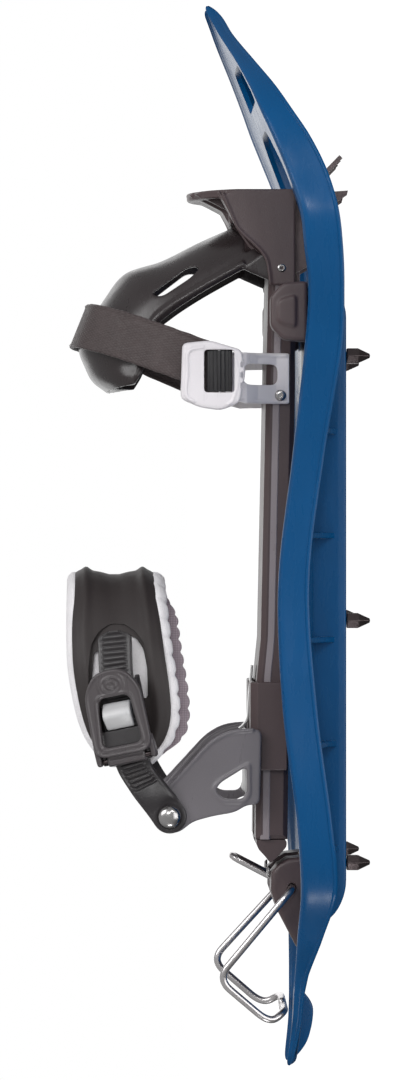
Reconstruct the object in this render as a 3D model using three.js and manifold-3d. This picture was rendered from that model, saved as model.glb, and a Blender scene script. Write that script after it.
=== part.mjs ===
// A plastic hourglass snowshoe for the right foot, with its pivoting binding.
// Millimetres. +Y points to the toe tip, +X to the buckle side, +Z up.
// x = 0 is the middle plane, y = 0 is half way along, z = 0 is the tips of the ground spikes.
import * as THREE from "three";
import { mergeVertices } from "three/addons/utils/BufferGeometryUtils.js";
import Module from "manifold-3d";

const wasm = await Module();
wasm.setup();

// ---- driving dimensions ----
const HALF_LENGTH = 285; // half of the deck's length
const SKIN = 3; // thickness of the deck's moulding
const FLOOR_Z = 33.4; // top of the flat middle of the deck
const TAIL_ROUND_Y = -273; // where the tail's end starts to round off
const TIP_HALF = 12; // least half width, at both tips
const FIT = 0.3; // gap between pieces that touch
const RAIL_Z = 12.8; // underside of the two rails
const RAIL_X = [53, 61]; // inner and outer face of a rail
const RAIL_MID = (RAIL_X[0] + RAIL_X[1]) / 2;
const WEB_Y = [-165, -110, -55, 0, 55]; // webs between a rail and the outer wall
const SPIKE_Y = [95, -45, -173]; // three pairs of ground spikes
const SPIKE = { radius: 4.6, tip: 6.5, shank: 2.6, depth: 11 }; // hexagonal body, and a shank in the rail
const PIVOT = { y: 118, z: 43.5 }; // axis that the binding turns on
const AXLE_R = 3.2;
const PLATE_HALF = 38.5; // half width of the sole plate
const PLATE_REAR = -162; // its rear end
const CLAW = { thickness: 2.4, tilt: 0.765 }; // sheet steel, and how steeply its front blade points down
const HEEL_PIVOT = { x: 48.5, y: -149, z: 106 }; // rivets of the ankle strap
const BAIL_PIVOT = { y: -188, z: 40.5 }; // axis of the heel lift bail
const BAIL_HALF = 42; // half width between the bail's legs
const BAIL_SKEW = 3; // the left leg stands a little further up than the right one
const WIRE_R = 2; // the bail's wire
const THUMB_SLOT = 11; // half width of the slot that the bail's thumb loop swings in
const WEBBING = { width: 25, thickness: 1.8 };
const LADDER = { width: 18, thickness: 2.6 };
const STRAP_LEAN = 0.22; // how far the ankle band leans in, per mm of height
const STRAP_MID_Z = 134; // height at which the band has its nominal width
const LINER_T = 7.5; // foam liner of the ankle band
const SHELL_T = 3.2; // its plastic shell
const RATCHET = { x: 57.4, y: -97, z: 130.6, climb: 0.2, lean: 0.24 }; // foot of the ratchet buckle

// y, half width, crest of the rim, bottom of the outer wall
const DECK_STATIONS = [
  [-285, 20, 42.9, 40],
  [-262, 29, 40.2, 35.6],
  [-238, 44, 39.4, 33.2],
  [-212, 68, 38.8, 25.4],
  [-186, 88, 37.7, 18.9],
  [-150, 96, 40.2, 22],
  [-90, 92, 47.5, 29.6],
  [-25, 88, 49.6, 33.5],
  [40, 90, 42.4, 26],
  [100, 98, 36, 16.5],
  [130, 103, 34.4, 15.8],
  [150, 105, 36.6, 16.6],
  [170, 106, 39, 19],
  [190, 102, 45.6, 24.8],
  [208, 98, 53, 33.4],
  [222, 92, 59, 42.2],
  [236, 81, 64.6, 51],
  [251, 62, 71.4, 61.5],
  [267, 36, 79.4, 72],
  [278, 20, 84.3, 79.4],
  [285, 12, 87.4, 84],
];
// y and height of the ankle band's upper and lower edges
const BAND_TOP = [[-124, 137], [-114, 147], [-103, 153.5], [-87, 158], [-66, 161], [-18, 161]];
const BAND_BOTTOM = [[-124, 117], [-108, 103.5], [-92, 100], [-55, 104.8], [-18, 109]];

// ---- materials ----
const plastic = (color, roughness) => new THREE.MeshStandardMaterial({ color, roughness, metalness: 0 });
const MATERIALS = {
  deck: plastic(0x00508a, 0.3),
  brown: plastic(0x54484a, 0.5),
  charcoal: plastic(0x3a383c, 0.35),
  black: plastic(0x2b2a2d, 0.45),
  white: plastic(0xd9d9de, 0.35),
  foam: plastic(0xe4e4e8, 0.85),
  webbing: plastic(0x3b3237, 0.9),
  steel: new THREE.MeshStandardMaterial({ color: 0xc8c8cc, roughness: 0.25, metalness: 1 }),
  blued: new THREE.MeshStandardMaterial({ color: 0x4a4040, roughness: 0.45, metalness: 0.8 }),
};

// ---- helpers ----
const vec = (x, y, z) => new THREE.Vector3(x, y, z);
const AXIS_X = vec(1, 0, 0);
const AXIS_Y = vec(0, 1, 0);
const AXIS_Z = vec(0, 0, 1);

// A smooth curve z(y) through the points of a table, in rising y.
function through(points) {
  const slope = (i) => {
    const a = points[Math.max(i - 1, 0)];
    const b = points[Math.min(i + 1, points.length - 1)];
    return (b[1] - a[1]) / (b[0] - a[0]);
  };
  return (y) => {
    let i = 0;
    while (i < points.length - 2 && y > points[i + 1][0]) i++;
    const [y0, z0] = points[i];
    const [y1, z1] = points[i + 1];
    const step = y1 - y0;
    const t = THREE.MathUtils.clamp((y - y0) / step, 0, 1);
    const near = (1 + 2 * t) * (1 - t) ** 2;
    const turn0 = t * (1 - t) ** 2 * step * slope(i);
    const turn1 = t * t * (t - 1) * step * slope(i + 1);
    return near * z0 + (1 - near) * z1 + turn0 + turn1;
  };
}

// A closed geometry as a solid, turned the right way out.
function solid(geometry) {
  const bare = geometry.index ? geometry.toNonIndexed() : geometry.clone();
  bare.deleteAttribute("normal");
  bare.deleteAttribute("uv");
  const merged = mergeVertices(bare, 1e-4);
  const vertProperties = merged.attributes.position.array;
  const triVerts = new Uint32Array(merged.index.array);
  let made = new wasm.Manifold(new wasm.Mesh({ numProp: 3, vertProperties, triVerts }));
  if (made.volume() < 0) {
    for (let i = 0; i < triVerts.length; i += 3) {
      [triVerts[i + 1], triVerts[i + 2]] = [triVerts[i + 2], triVerts[i + 1]];
    }
    made = new wasm.Manifold(new wasm.Mesh({ numProp: 3, vertProperties, triVerts }));
  }
  return made;
}

function geometryOf(shape) {
  const { vertProperties, triVerts } = shape.getMesh();
  const geometry = new THREE.BufferGeometry();
  geometry.setAttribute("position", new THREE.BufferAttribute(vertProperties, 3));
  geometry.setIndex(new THREE.BufferAttribute(triVerts, 1));
  const flat = geometry.toNonIndexed();
  flat.computeVertexNormals();
  return flat;
}

// A flat outline whose corners are cut round, as a THREE.Shape.
function outline(points, radius = 0) {
  const shape = new THREE.Shape();
  const corners = points.map(([x, y]) => new THREE.Vector2(x, y));
  corners.forEach((corner, i) => {
    const before = corners[(i + corners.length - 1) % corners.length];
    const after = corners[(i + 1) % corners.length];
    const cut = Math.min(radius, corner.distanceTo(before) / 2.1, corner.distanceTo(after) / 2.1);
    const start = corner.clone().lerp(before, cut / corner.distanceTo(before));
    const end = corner.clone().lerp(after, cut / corner.distanceTo(after));
    if (i === 0) shape.moveTo(start.x, start.y);
    else shape.lineTo(start.x, start.y);
    if (cut > 0) shape.quadraticCurveTo(corner.x, corner.y, end.x, end.y);
  });
  return shape;
}

// Extrude an outline along an axis, between two places on it, with a chamfer round both faces.
function slab(axis, shape, from, to, chamfer = 0, curveSegments = 4) {
  const geometry = new THREE.ExtrudeGeometry(shape, {
    depth: to - from - 2 * chamfer,
    curveSegments,
    bevelEnabled: chamfer > 0,
    bevelThickness: chamfer,
    bevelSize: chamfer,
    bevelOffset: -chamfer,
    bevelSegments: 1,
  });
  geometry.translate(0, 0, from + chamfer);
  const bases = {
    x: new THREE.Matrix4().makeBasis(AXIS_Y, AXIS_Z, AXIS_X),
    y: new THREE.Matrix4().makeBasis(AXIS_Z, AXIS_X, AXIS_Y),
    z: new THREE.Matrix4(),
  };
  return solid(geometry.applyMatrix4(bases[axis]));
}
const sideSlab = (points, x0, x1, radius = 0, chamfer = 0) =>
  slab("x", outline(points, radius), x0, x1, chamfer);
const planSlab = (points, z0, z1, radius = 0, chamfer = 0) =>
  slab("z", outline(points, radius), z0, z1, chamfer);
// Its points are (z, x).
const frontSlab = (points, y0, y1, radius = 0, chamfer = 0) =>
  slab("y", outline(points, radius), y0, y1, chamfer);

const rectangle = (a0, b0, a1, b1) => [[a0, b0], [a1, b0], [a1, b1], [a0, b1]];

// A block of nu x nv x 1 cells, each corner of which is put in its place by a function.
function warp(nu, nv, place) {
  const geometry = new THREE.BoxGeometry(1, 1, 1, nu, nv, 1);
  const spots = geometry.attributes.position;
  for (let i = 0; i < spots.count; i++) {
    const p = place(spots.getX(i) + 0.5, spots.getY(i) + 0.5, spots.getZ(i) + 0.5);
    spots.setXYZ(i, p.x, p.y, p.z);
  }
  return solid(geometry);
}

// A flat strap along a curve. Its width runs in the direction across(u), squared up to the curve.
function strap(points, across, width, thickness, steps) {
  const curve = new THREE.CatmullRomCurve3(points.map((p) => vec(...p)), false, "centripetal");
  return warp(steps, 1, (u, v, w) => {
    const tangent = curve.getTangentAt(u);
    const wide = across(u);
    const side = wide.clone().addScaledVector(tangent, -wide.dot(tangent)).normalize();
    const normal = vec(0, 0, 0).crossVectors(side, tangent);
    return curve
      .getPointAt(u)
      .addScaledVector(side, (v - 0.5) * width)
      .addScaledVector(normal, (w - 0.5) * thickness);
  });
}

// Round wire through straight stretches joined by bends.
function wire(points, radius, bend, steps) {
  const path = new THREE.CurvePath();
  const spots = points.map((p) => vec(...p));
  let last = spots[0];
  for (let i = 1; i < spots.length - 1; i++) {
    const before = spots[i].distanceTo(spots[i - 1]);
    const after = spots[i].distanceTo(spots[i + 1]);
    const start = spots[i].clone().lerp(spots[i - 1], Math.min(bend, before / 2.1) / before);
    const end = spots[i].clone().lerp(spots[i + 1], Math.min(bend, after / 2.1) / after);
    path.add(new THREE.LineCurve3(last, start));
    path.add(new THREE.QuadraticBezierCurve3(start, spots[i], end));
    last = end;
  }
  path.add(new THREE.LineCurve3(last, spots[spots.length - 1]));
  const corners = Array.from({ length: 8 }, (_, i) => {
    const turn = (i / 8) * Math.PI * 2;
    return new THREE.Vector2(radius * Math.cos(turn), radius * Math.sin(turn));
  });
  return solid(new THREE.ExtrudeGeometry(new THREE.Shape(corners), { steps, extrudePath: path }));
}

// A turned piece on an axis along x, y or z. Its profile is [radius, place along the axis].
function turned(axis, profile, centre, sides = 16) {
  const geometry = new THREE.LatheGeometry(profile.map(([r, h]) => new THREE.Vector2(r, h)), sides);
  if (axis === "x") geometry.rotateZ(-Math.PI / 2);
  if (axis === "z") geometry.rotateX(Math.PI / 2);
  geometry.translate(...centre);
  return solid(geometry);
}
const pin = (axis, radius, from, to, centre, sides = 16) =>
  turned(axis, [[0, from], [radius, from], [radius, to], [0, to]], centre, sides);

const joined = (...parts) => parts.reduce((all, part) => all.add(part));
// The same side outline between two faces that are given for the right side.
const flankSlab = (points, side, inner, outer, radius = 0, chamfer = 0) =>
  side > 0
    ? sideSlab(points, inner, outer, radius, chamfer)
    : sideSlab(points, -outer, -inner, radius, chamfer);
// A turned head, pointing outward on the right or the left side.
const outwardHead = (profile, side, centre, sides) =>
  turned("x", side > 0 ? [...profile].reverse() : profile.map(([r, h]) => [r, -h]), centre, sides);

const group = new THREE.Group();
group.name = "snowshoe";
function add(name, material, shape, home = group) {
  const mesh = new THREE.Mesh(geometryOf(shape), MATERIALS[material]);
  mesh.name = name;
  home.add(mesh);
}

// ---- deck ----
const column = (k) => through(DECK_STATIONS.map((row) => [row[0], row[k]]));
const plainHalfWidth = column(1);
const crestZ = column(2);
const wallZ = column(3);

// The toe is pointed in plan, and the tail has a small round end.
function halfWidth(y) {
  const tail = THREE.MathUtils.clamp((TAIL_ROUND_Y - y) / (HALF_LENGTH + TAIL_ROUND_Y), 0, 1);
  return Math.max(TIP_HALF, plainHalfWidth(y) * Math.sqrt(1 - 0.5 * tail * tail));
}
// Flat in the middle, and close under the rim at both ends.
function floorZ(y) {
  const toe = THREE.MathUtils.smoothstep(y, 140, 172);
  const tail = THREE.MathUtils.smoothstep(-y, 222, 255);
  const dished = crestZ(y) - 2.2;
  return Math.min(THREE.MathUtils.lerp(FLOOR_Z, dished, Math.max(toe, tail)), crestZ(y) - 1);
}

// Points of half the deck's section, from the middle out: [x, z] on its top face, then on its underside.
function deckSection(y) {
  const w = halfWidth(y);
  const floor = floorZ(y);
  const crest = crestZ(y);
  const wall = wallZ(y);
  const foot = floor + 0.3 * (crest - floor);
  const middle = crest - 0.55 * (crest - wall);
  return [
    [0, floor, 0, floor - SKIN],
    [0.4 * w, floor, 0.4 * w, floor - SKIN],
    [0.76 * w, floor, 0.76 * w - 0.4, floor - SKIN],
    [0.86 * w, foot, 0.86 * w - 1, foot - SKIN + 0.1],
    [0.92 * w, crest - 0.8, 0.92 * w - 1.6, crest - SKIN - 0.5],
    [0.955 * w, crest, 0.955 * w - 2.1, crest - SKIN - 0.3],
    [0.985 * w, crest - 1.5, 0.985 * w - 2.5, crest - SKIN - 1],
    [w, middle, w - SKIN + 0.2, Math.min(middle, crest - SKIN - 1.6)],
    [w, wall, w - SKIN + 0.2, wall],
  ];
}

function deckSkin() {
  const half = 8;
  return warp(2 * half, 44, (u, v, w) => {
    const y = -HALF_LENGTH * Math.cos(Math.PI * v);
    const point = deckSection(y)[Math.round(Math.abs(2 * u - 1) * half)];
    const [x, z] = w > 0.5 ? point : point.slice(2);
    return vec(Math.sign(u - 0.5) * x, y, z);
  });
}

function rail(side) {
  const top = FLOOR_Z - SKIN / 2;
  const run = [[138, top], [132, 19], [121, RAIL_Z], [-188, RAIL_Z], [-200, 18], [-210, top]];
  return flankSlab(run, side, ...RAIL_X, 6);
}

// A web between a rail and the outer wall.
function gusset(side, y) {
  const w = halfWidth(y);
  const floor = floorZ(y);
  const points = [
    [RAIL_Z + 3, RAIL_X[0] + 4],
    [floor - 1.5, RAIL_X[0] + 4],
    [floor - 1.5, 0.76 * w],
    [floor + 0.3 * (crestZ(y) - floor) - 1.5, 0.86 * w],
    [crestZ(y) - 6, w - 2],
    [wallZ(y) + 1, w - 2],
  ];
  return frontSlab(points.map(([z, x]) => [z, side * x]), y - 1.5, y + 1.5);
}

function deck() {
  let shape = deckSkin();
  for (const side of [-1, 1]) {
    shape = shape.add(rail(side));
    for (const y of WEB_Y) shape = shape.add(gusset(side, y));
    for (const y of SPIKE_Y) {
      const socket = [side * RAIL_MID, y, 0];
      shape = shape.subtract(pin("z", SPIKE.shank + FIT, RAIL_Z - 2, RAIL_Z + SPIKE.depth + 1, socket, 12));
    }
  }
  const fin = [[-242, 38], [-248, 31.5], [-254, 27.6], [-263, 28.2], [-273, 30.8], [-279, 34.8], [-284, 40]];
  shape = shape.add(sideSlab(fin, -3.5, 3.5, 4));
  const window = [[-51, 108], [51, 108], [51, 196], [30, 217], [-30, 217], [-51, 196]];
  shape = shape.subtract(planSlab(window, 0, 90, 12));
  const slot = [[-44, 231], [44, 231], [30, 252], [-30, 252]];
  return shape.subtract(planSlab(slot, 30, 100, 9));
}

// ---- ground spikes, pivot and heel lift on the deck ----
function spike(side, y) {
  const { radius, tip, shank, depth } = SPIKE;
  const shoulder = RAIL_Z - FIT;
  const end = RAIL_Z + depth;
  const profile = [[0, end], [shank, end], [shank, shoulder], [radius, shoulder], [radius, tip], [0, 0]];
  return turned("z", profile, [side * RAIL_MID, y, 0], 6);
}

function pivotHousing(side) {
  const { y, z } = PIVOT;
  const base = FLOOR_Z + FIT;
  const crown = [[y + 15, z + 3], [y + 8, z + 9.7], [y - 8, z + 9.7], [y - 15, z + 3]];
  const arch = [[y - 16, base], [y + 16, base], ...crown];
  return flankSlab(arch, side, 56, 71, 0, 3).subtract(pin("x", AXLE_R + FIT, -67, 67, [0, y, z]));
}

function heelLiftBlock() {
  const top = FLOOR_Z + FIT;
  const back = [[-190, 51.8], [-201, 48], [-220, top + 4.4], [-220, top]];
  const ramp = [[-171.5, top], [-172.5, 43], [-175.5, 48], [-180, 51.6], ...back];
  const block = sideSlab(ramp, -34, 34, 0, 1.5);
  const channel = sideSlab(rectangle(-204, top + 2, -160, 60), -THUMB_SLOT, THUMB_SLOT);
  const bore = pin("x", WIRE_R + FIT, -40, 40, [0, BAIL_PIVOT.y, BAIL_PIVOT.z], 12);
  return block.subtract(channel).subtract(bore);
}

function blockScrew(side) {
  const head = [[0, 1.8], [2, 1.8], [3.4, 0.8], [3.4, 0], [0, 0]];
  return turned("z", head, [side * 22, -180, 51.9], 12);
}

function heelLiftBail() {
  const { y, z } = BAIL_PIVOT;
  const leg = (side, skew) => [
    [side * 7, y, z],
    [side * BAIL_HALF, y, z],
    [side * (BAIL_HALF - 1), y - 48 + skew, z + 40 + skew / 2],
    [side * (BAIL_HALF - 4), y - 72 + skew, z + 12 + skew / 2],
    [side * (BAIL_HALF - 8), y - 66 + skew, z + 3.8],
  ];
  const frame = wire([...leg(1, 0), ...leg(-1, BAIL_SKEW).reverse()], WIRE_R, 8, 76);
  const prong = (side) => [[side * 8.2, y, z], [side * 8, y + 5, z + 12], [side * 7, y + 15, z + 31]];
  return joined(frame, wire([...prong(1), ...prong(-1).reverse()], WIRE_R, 6, 22));
}

// ---- sole plate ----
const REAR_SLOT = rectangle(-THUMB_SLOT, -200, THUMB_SLOT, -142);

function solePlate() {
  const side = [
    [179, 39], [179, 53], [146, 53], [72, 54.6], [-55, 57.2], [-77, 59.4], [PLATE_REAR, 60],
    [PLATE_REAR, 43], [-60, 42], [80, 39],
  ];
  let plate = sideSlab(side, -PLATE_HALF, PLATE_HALF, 0, 2.5);
  for (const [y0, y1] of [[-134, -80], [-72, -10], [-2, 60], [68, 104], [132, 170]]) {
    plate = plate.subtract(planSlab(rectangle(-33, y0, 33, y1), 30, 50, 5));
  }
  plate = plate.subtract(planSlab(REAR_SLOT, 30, 70));
  return plate.subtract(pin("x", AXLE_R + FIT, -60, 60, [0, PIVOT.y, PIVOT.z]));
}

function plateEndCap(side) {
  const face = PLATE_REAR - FIT;
  const wedge = [[face, 60], [-167, 58.8], [-171, 55], [-175, 52], [-166, 43.4], [face, 43.4]];
  const cap = sideSlab(wedge, -PLATE_HALF + 2, PLATE_HALF - 2, 2);
  const half = side > 0 ? [THUMB_SLOT, 60] : [-60, -THUMB_SLOT];
  return cap.intersect(planSlab(rectangle(half[0], -200, half[1], -100), 0, 100));
}

function toeBumper() {
  const brow = [[72, 42], [86, 30], [95, 12], [96.5, 0], [95, -12], [86, -30], [72, -42]];
  const front = [[39, -42], [39, 42], ...brow];
  const wall = frontSlab(front, 180, 184.5, 6);
  const slope = [[180, 79], [162, 68.5], [153, 62.5], [148, 55], [146, 53]];
  const profile = [[184, 39], [184, 72], ...slope, [146, 39]];
  const cheek = (side) => flankSlab(profile, side, PLATE_HALF + FIT, 42, 2);
  const lip = sideSlab([[183, 96], [178, 85], [174, 77.5], [167, 73.5], [167, 71], [183, 71]], -16, 16, 1);
  return joined(wall, cheek(1), cheek(-1), lip);
}

function toeClaw() {
  const base = sideSlab(rectangle(126, 36.2, 179, 38.6), -30, 30);
  const half = [[40, 0], [40, 20], [36.5, 33], [31, 20], [21, 20], [15, 33], [9, 20]];
  const teeth = [...half, ...half.map(([x, y]) => [-x, y]).reverse()];
  const blade = slab("z", outline(teeth), 0, CLAW.thickness);
  const tilt = new THREE.Matrix4().makeRotationX(-CLAW.tilt).setPosition(0, 177.5, 36.4);
  const placed = solid(geometryOf(blade).applyMatrix4(tilt));
  const front = [[140, 38.6], [179, 38.6], [183, 31], [184.5, 10.4]];
  const tooth = [...front, [182, 11], [172, 26], [163, 17], [156, 28], [145, 30]];
  const flank = (side) => flankSlab(tooth, side, 28, 28 + CLAW.thickness);
  return joined(base, placed, flank(1), flank(-1));
}

function clawRivet(side) {
  const head = [[0, 0], [4, 0], [3.2, -1.6], [1.4, -2.3], [0, -2.3]];
  return turned("z", head, [side * 16, 152, 36.2 - FIT], 12);
}

// ---- toe yoke: an arched sheet over the toes ----
// y and z of the sheet's middle line and of its two long edges, from the foot to the free end
const YOKE_CROWN = [
  [166, 72], [158, 90], [148, 110], [141, 130], [128, 140.5], [112, 150], [100, 153.5], [87, 149], [77, 139],
];
const YOKE_EDGE = [
  [147, 56], [143, 64], [129, 89], [119, 104], [112, 112], [104, 115], [97, 117.5], [88, 120], [81, 124],
];
const YOKE_HALF = 45;
const YOKE_T = 4;
const YOKE_FOOT = [42.6, 46.6]; // inner and outer face of its feet, outside the bumper's cheeks
const plane = (points) =>
  new THREE.CatmullRomCurve3(points.map(([y, z]) => vec(0, y, z)), false, "centripetal");
const yokeCrown = plane(YOKE_CROWN);
const yokeEdge = plane(YOKE_EDGE);

function yokePoint(u, v) {
  const turn = (u - 0.5) * Math.PI;
  const reach = 1 - Math.cos(turn);
  const point = yokeCrown.getPoint(v).lerp(yokeEdge.getPoint(v), reach);
  point.x = YOKE_HALF * Math.sin(turn);
  return point;
}

function yokeNormal(u, v) {
  const e = 0.01;
  const du = yokePoint(u + e, v).sub(yokePoint(u - e, v));
  const dv = yokePoint(u, Math.min(v + e, 1)).sub(yokePoint(u, Math.max(v - e, 0)));
  return dv.cross(du).normalize();
}

function toeYoke() {
  const sheet = warp(16, 14, (u, v, w) => yokePoint(u, v).addScaledVector(yokeNormal(u, v), -w * YOKE_T));
  const opening = [[128, 116], [143, 96], [143, 89], [137, 95], [127, 110]];
  const crownSlot = [[164, 96], [157, 112], [148, 125], [146, 122], [153, 108], [160, 94]];
  const footSide = [[151, 56], [150, 44], [134, 44], [134, 58], [140, 74]];
  const [inner, outer] = YOKE_FOOT;
  const foot = (side) => flankSlab(footSide, side, inner, outer, 3);
  return joined(sheet, foot(1), foot(-1))
    .subtract(sideSlab(opening, -60, 60, 3))
    .subtract(sideSlab(crownSlot, -12, 12, 2))
    .subtract(sideSlab(rectangle(120, 38, 190, 66), FIT - inner, inner - FIT));
}

function yokeScrew(side) {
  const head = [[0, 0], [4.2, 0], [4.2, 1.2], [2.8, 2.4], [0, 2.4]];
  return outwardHead(head, side, [side * (YOKE_FOOT[1] + FIT), 142, 50], 12);
}

// ---- toe strap: webbing, links and cam buckle ----
const WEB_LEFT = [
  [-58.4, 83.5, 66], [-58.3, 86, 76], [-57.4, 91, 92], [-54, 97.5, 108],
  [-49.5, 102.5, 120], [-42, 108, 136], [-30, 111.5, 148.5], [-14, 112.5, 153.2],
];
const WEB_RIGHT = [
  [14, 112.5, 153.2], [30, 111.5, 148.5], [43, 107.5, 134.5], [51, 101, 116],
  [55.5, 95.5, 101], [57.5, 90, 86], [58, 87, 76],
];
const WEB_ACROSS = vec(0, 1, -0.4); // its width follows the crown's slope

function toeWebbing() {
  return strap([...WEB_LEFT, ...WEB_RIGHT], () => WEB_ACROSS, WEBBING.width, WEBBING.thickness, 44);
}

function toeLink(side) {
  const inner = [[43, 39.2], [50, 39.2], [60, 43.5], [66, 51], [74, 54]];
  const outer = inner.map(([z, x]) => [z - 0.8, x + 2.8]).reverse();
  const bent = frontSlab([...inner, ...outer].map(([z, x]) => [z, side * x]), 70, 97);
  const slot = sideSlab(rectangle(80, 48.5, 91, 67), -80, 80, 3);
  return bent.subtract(slot).subtract(sideSlab([[70, 66], [74, 80], [66, 80], [66, 66]], -80, 80));
}

function linkRivet(side) {
  const head = [[0, 0], [3, 0], [2.4, 1.2], [1, 1.8], [0, 1.8]];
  return outwardHead(head, side, [side * (42 + FIT), 74.5, 47], 12);
}

const CAM_PIN = { x: 62.6, z: 80, r: 0.9 };

function toeBuckleFrame() {
  const shape = [[101.5, 99.5], [103, 85], [98, 68], [86, 66], [70, 69], [66, 79], [67.5, 90], [72, 100.5]];
  const body = sideSlab(shape, 56.6, 64.6, 0, 2);
  const window = sideSlab(rectangle(75.5, 72, 98, 88), 50, 70, 2);
  const passage = sideSlab(rectangle(71.5, 60, 103, 96), 54, 60.4);
  const mouth = frontSlab([[94, 54], [94, 60], [104, 58.5], [104, 52]], 71.5, 103.5);
  const step = sideSlab(rectangle(60, 60, 110, 76), 50, 58.9);
  const bore = pin("y", CAM_PIN.r + FIT, 73, 101, [CAM_PIN.x, 0, CAM_PIN.z], 10);
  return body.subtract(window).subtract(passage).subtract(mouth).subtract(step).subtract(bore);
}

function buckleCam() {
  const back = 60.9;
  const ribs = [];
  for (let i = 1; i < 12; i++) {
    const turn = (i / 12 - 0.5) * Math.PI;
    const radius = i % 2 ? 4.6 : 5.3;
    ribs.push([CAM_PIN.z + radius * Math.sin(turn) * 1.25, back + 0.3 + radius * Math.cos(turn) * 0.85]);
  }
  const cam = frontSlab([[CAM_PIN.z - 6.4, back], ...ribs, [CAM_PIN.z + 6.4, back]], 76, 97.5);
  return cam.subtract(pin("y", CAM_PIN.r + FIT, 70, 100, [CAM_PIN.x, 0, CAM_PIN.z], 10));
}

const camPin = () => pin("y", CAM_PIN.r, 73.4, 100.4, [CAM_PIN.x, 0, CAM_PIN.z], 10);

// ---- heel unit ----
function heelCarriage() {
  const section = [
    [43.5, 39], [43.5, 43], [59, 43], [62.8, 40], [62.8, -40], [59, -43], [43.5, -43], [43.5, -39],
    [57.6, -39], [60.5, -36.5], [60.5, 36.5], [57.6, 39],
  ];
  const body = slab("y", outline(section), -125, -78);
  return body.subtract(planSlab(rectangle(-9, -106, 9, -70), 60, 70));
}

function heelArm(side) {
  const profile = [
    [-103, 57], [-103, 64], [-105.5, 75], [-111, 85], [-121, 94], [-134, 106], [-141, 113], [-150, 115],
    [-158, 110], [-158, 101], [-152, 94], [-149, 83], [-147, 71], [-143, 65], [-143, 58],
  ];
  const window = [[-122.5, 65], [-131.5, 79.5], [-136, 82], [-140, 77], [-140, 67], [-136, 65]];
  const hole = sideSlab(window, -60, 60, 3);
  const bore = pin("x", RIVET_HOLE, -60, 60, [0, HEEL_PIVOT.y, HEEL_PIVOT.z]);
  return flankSlab(profile, side, 43.3, 48.3, 4).subtract(hole).subtract(bore);
}

function heelCup() {
  const outer = [[-46, -142], [-30, -148], [0, -151], [30, -148], [46, -142]];
  const inner = [[46, -136], [30, -143], [0, -146], [-30, -143], [-46, -136]];
  const band = planSlab([...outer, ...inner], 84, 96, 3);
  const floor = planSlab(rectangle(-46, -140, 46, -105), 63.1, 65.6, 3);
  return joined(heelArm(1), heelArm(-1), band, floor);
}

function lengthLatch() {
  return sideSlab([[-70, 60.3], [-70, 61.7], [-99, 64], [-104, 67.6], [-105.2, 67], [-100, 62.2]], -7.5, 7.5);
}

// ---- ankle strap ----
const BAND_HALF = [[44, -123], [43.5, -95], [38, -62], [22, -37]];
const BAND_PLAN = [...BAND_HALF, [0, -29.5], ...BAND_HALF.map(([x, y]) => [-x, y]).reverse()];
const bandPath = new THREE.CatmullRomCurve3(BAND_PLAN.map(([x, y]) => vec(x, y, 0)), false, "centripetal");
const bandTop = through(BAND_TOP);
const bandBottom = through(BAND_BOTTOM);

// A stretch of the ankle band, between two depths outward from its inner face.
function ankleBand(from, to, inner, outer, topInset, bottomInset, steps) {
  return warp(steps, 2, (u, v, w) => {
    const t = THREE.MathUtils.lerp(from, to, u);
    const spot = bandPath.getPointAt(t);
    const tangent = bandPath.getTangentAt(t);
    const outward = vec(-tangent.y, tangent.x, 0);
    const low = bandBottom(spot.y) + bottomInset;
    const z = THREE.MathUtils.lerp(low, bandTop(spot.y) - topInset, v);
    const place = spot.clone().addScaledVector(outward, -THREE.MathUtils.lerp(inner, outer, w));
    const lean = STRAP_LEAN * (STRAP_MID_Z - z) * (place.x / 50);
    return vec(place.x + lean, place.y, z);
  });
}

const ankleLiner = () => ankleBand(0, 1, 0, LINER_T, 0, 0, 40);

function ankleShell() {
  const band = ankleBand(0.016, 0.984, LINER_T + FIT, LINER_T + FIT + SHELL_T, 5, 8, 40);
  const window = sideSlab([[-86, 116], [-50, 118], [-46, 134], [-50, 149], [-86, 147]], 20, 90, 8);
  return band.subtract(window);
}

const LADDER_PATH = [
  [50.2, -149, 106], [50.8, -142.5, 110.5], [55.4, -132, 118.6], [61.4, -121, 125.2], [62.5, -110, 128],
  [62.4, -97, 130.6], [60.6, -84, 133], [54.6, -70, 134.6], [50.6, -58, 135], [49, -51, 135.4],
];

const RIVET_HOLE = 3.2;

// The round end of a strap, with the rivet's hole.
function strapEnd(side) {
  const ring = [[RIVET_HOLE, -1.4], [LADDER.width / 2, -1.4], [LADDER.width / 2, 1.2], [RIVET_HOLE, 1.2]];
  return turned("x", [...ring, ring[0]], [side * 50.2, HEEL_PIVOT.y, HEEL_PIVOT.z], 20);
}

function ladderStrap() {
  const across = (u) => vec(-RATCHET.lean * THREE.MathUtils.smoothstep(u, 0.05, 0.3), -0.2, 1);
  const band = strap(LADDER_PATH, across, LADDER.width, LADDER.thickness, 36);
  const hole = pin("x", RIVET_HOLE, 40, 60, [0, HEEL_PIVOT.y, HEEL_PIVOT.z]);
  return band.subtract(hole).add(strapEnd(1));
}

function plainStrap() {
  const path = [
    [-50.2, -149, 106], [-50.8, -142.5, 110.5], [-55.4, -132, 117.4],
    [-60, -121, 123], [-60.6, -110, 127], [-59.4, -98, 130],
  ];
  const across = (u) => vec(RATCHET.lean * THREE.MathUtils.smoothstep(u, 0.05, 0.6), -0.2, 1);
  const band = strap(path, across, LADDER.width, LADDER.thickness, 16);
  const hole = pin("x", RIVET_HOLE, -60, -40, [0, HEEL_PIVOT.y, HEEL_PIVOT.z]);
  return band.subtract(hole).add(strapEnd(-1));
}

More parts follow.
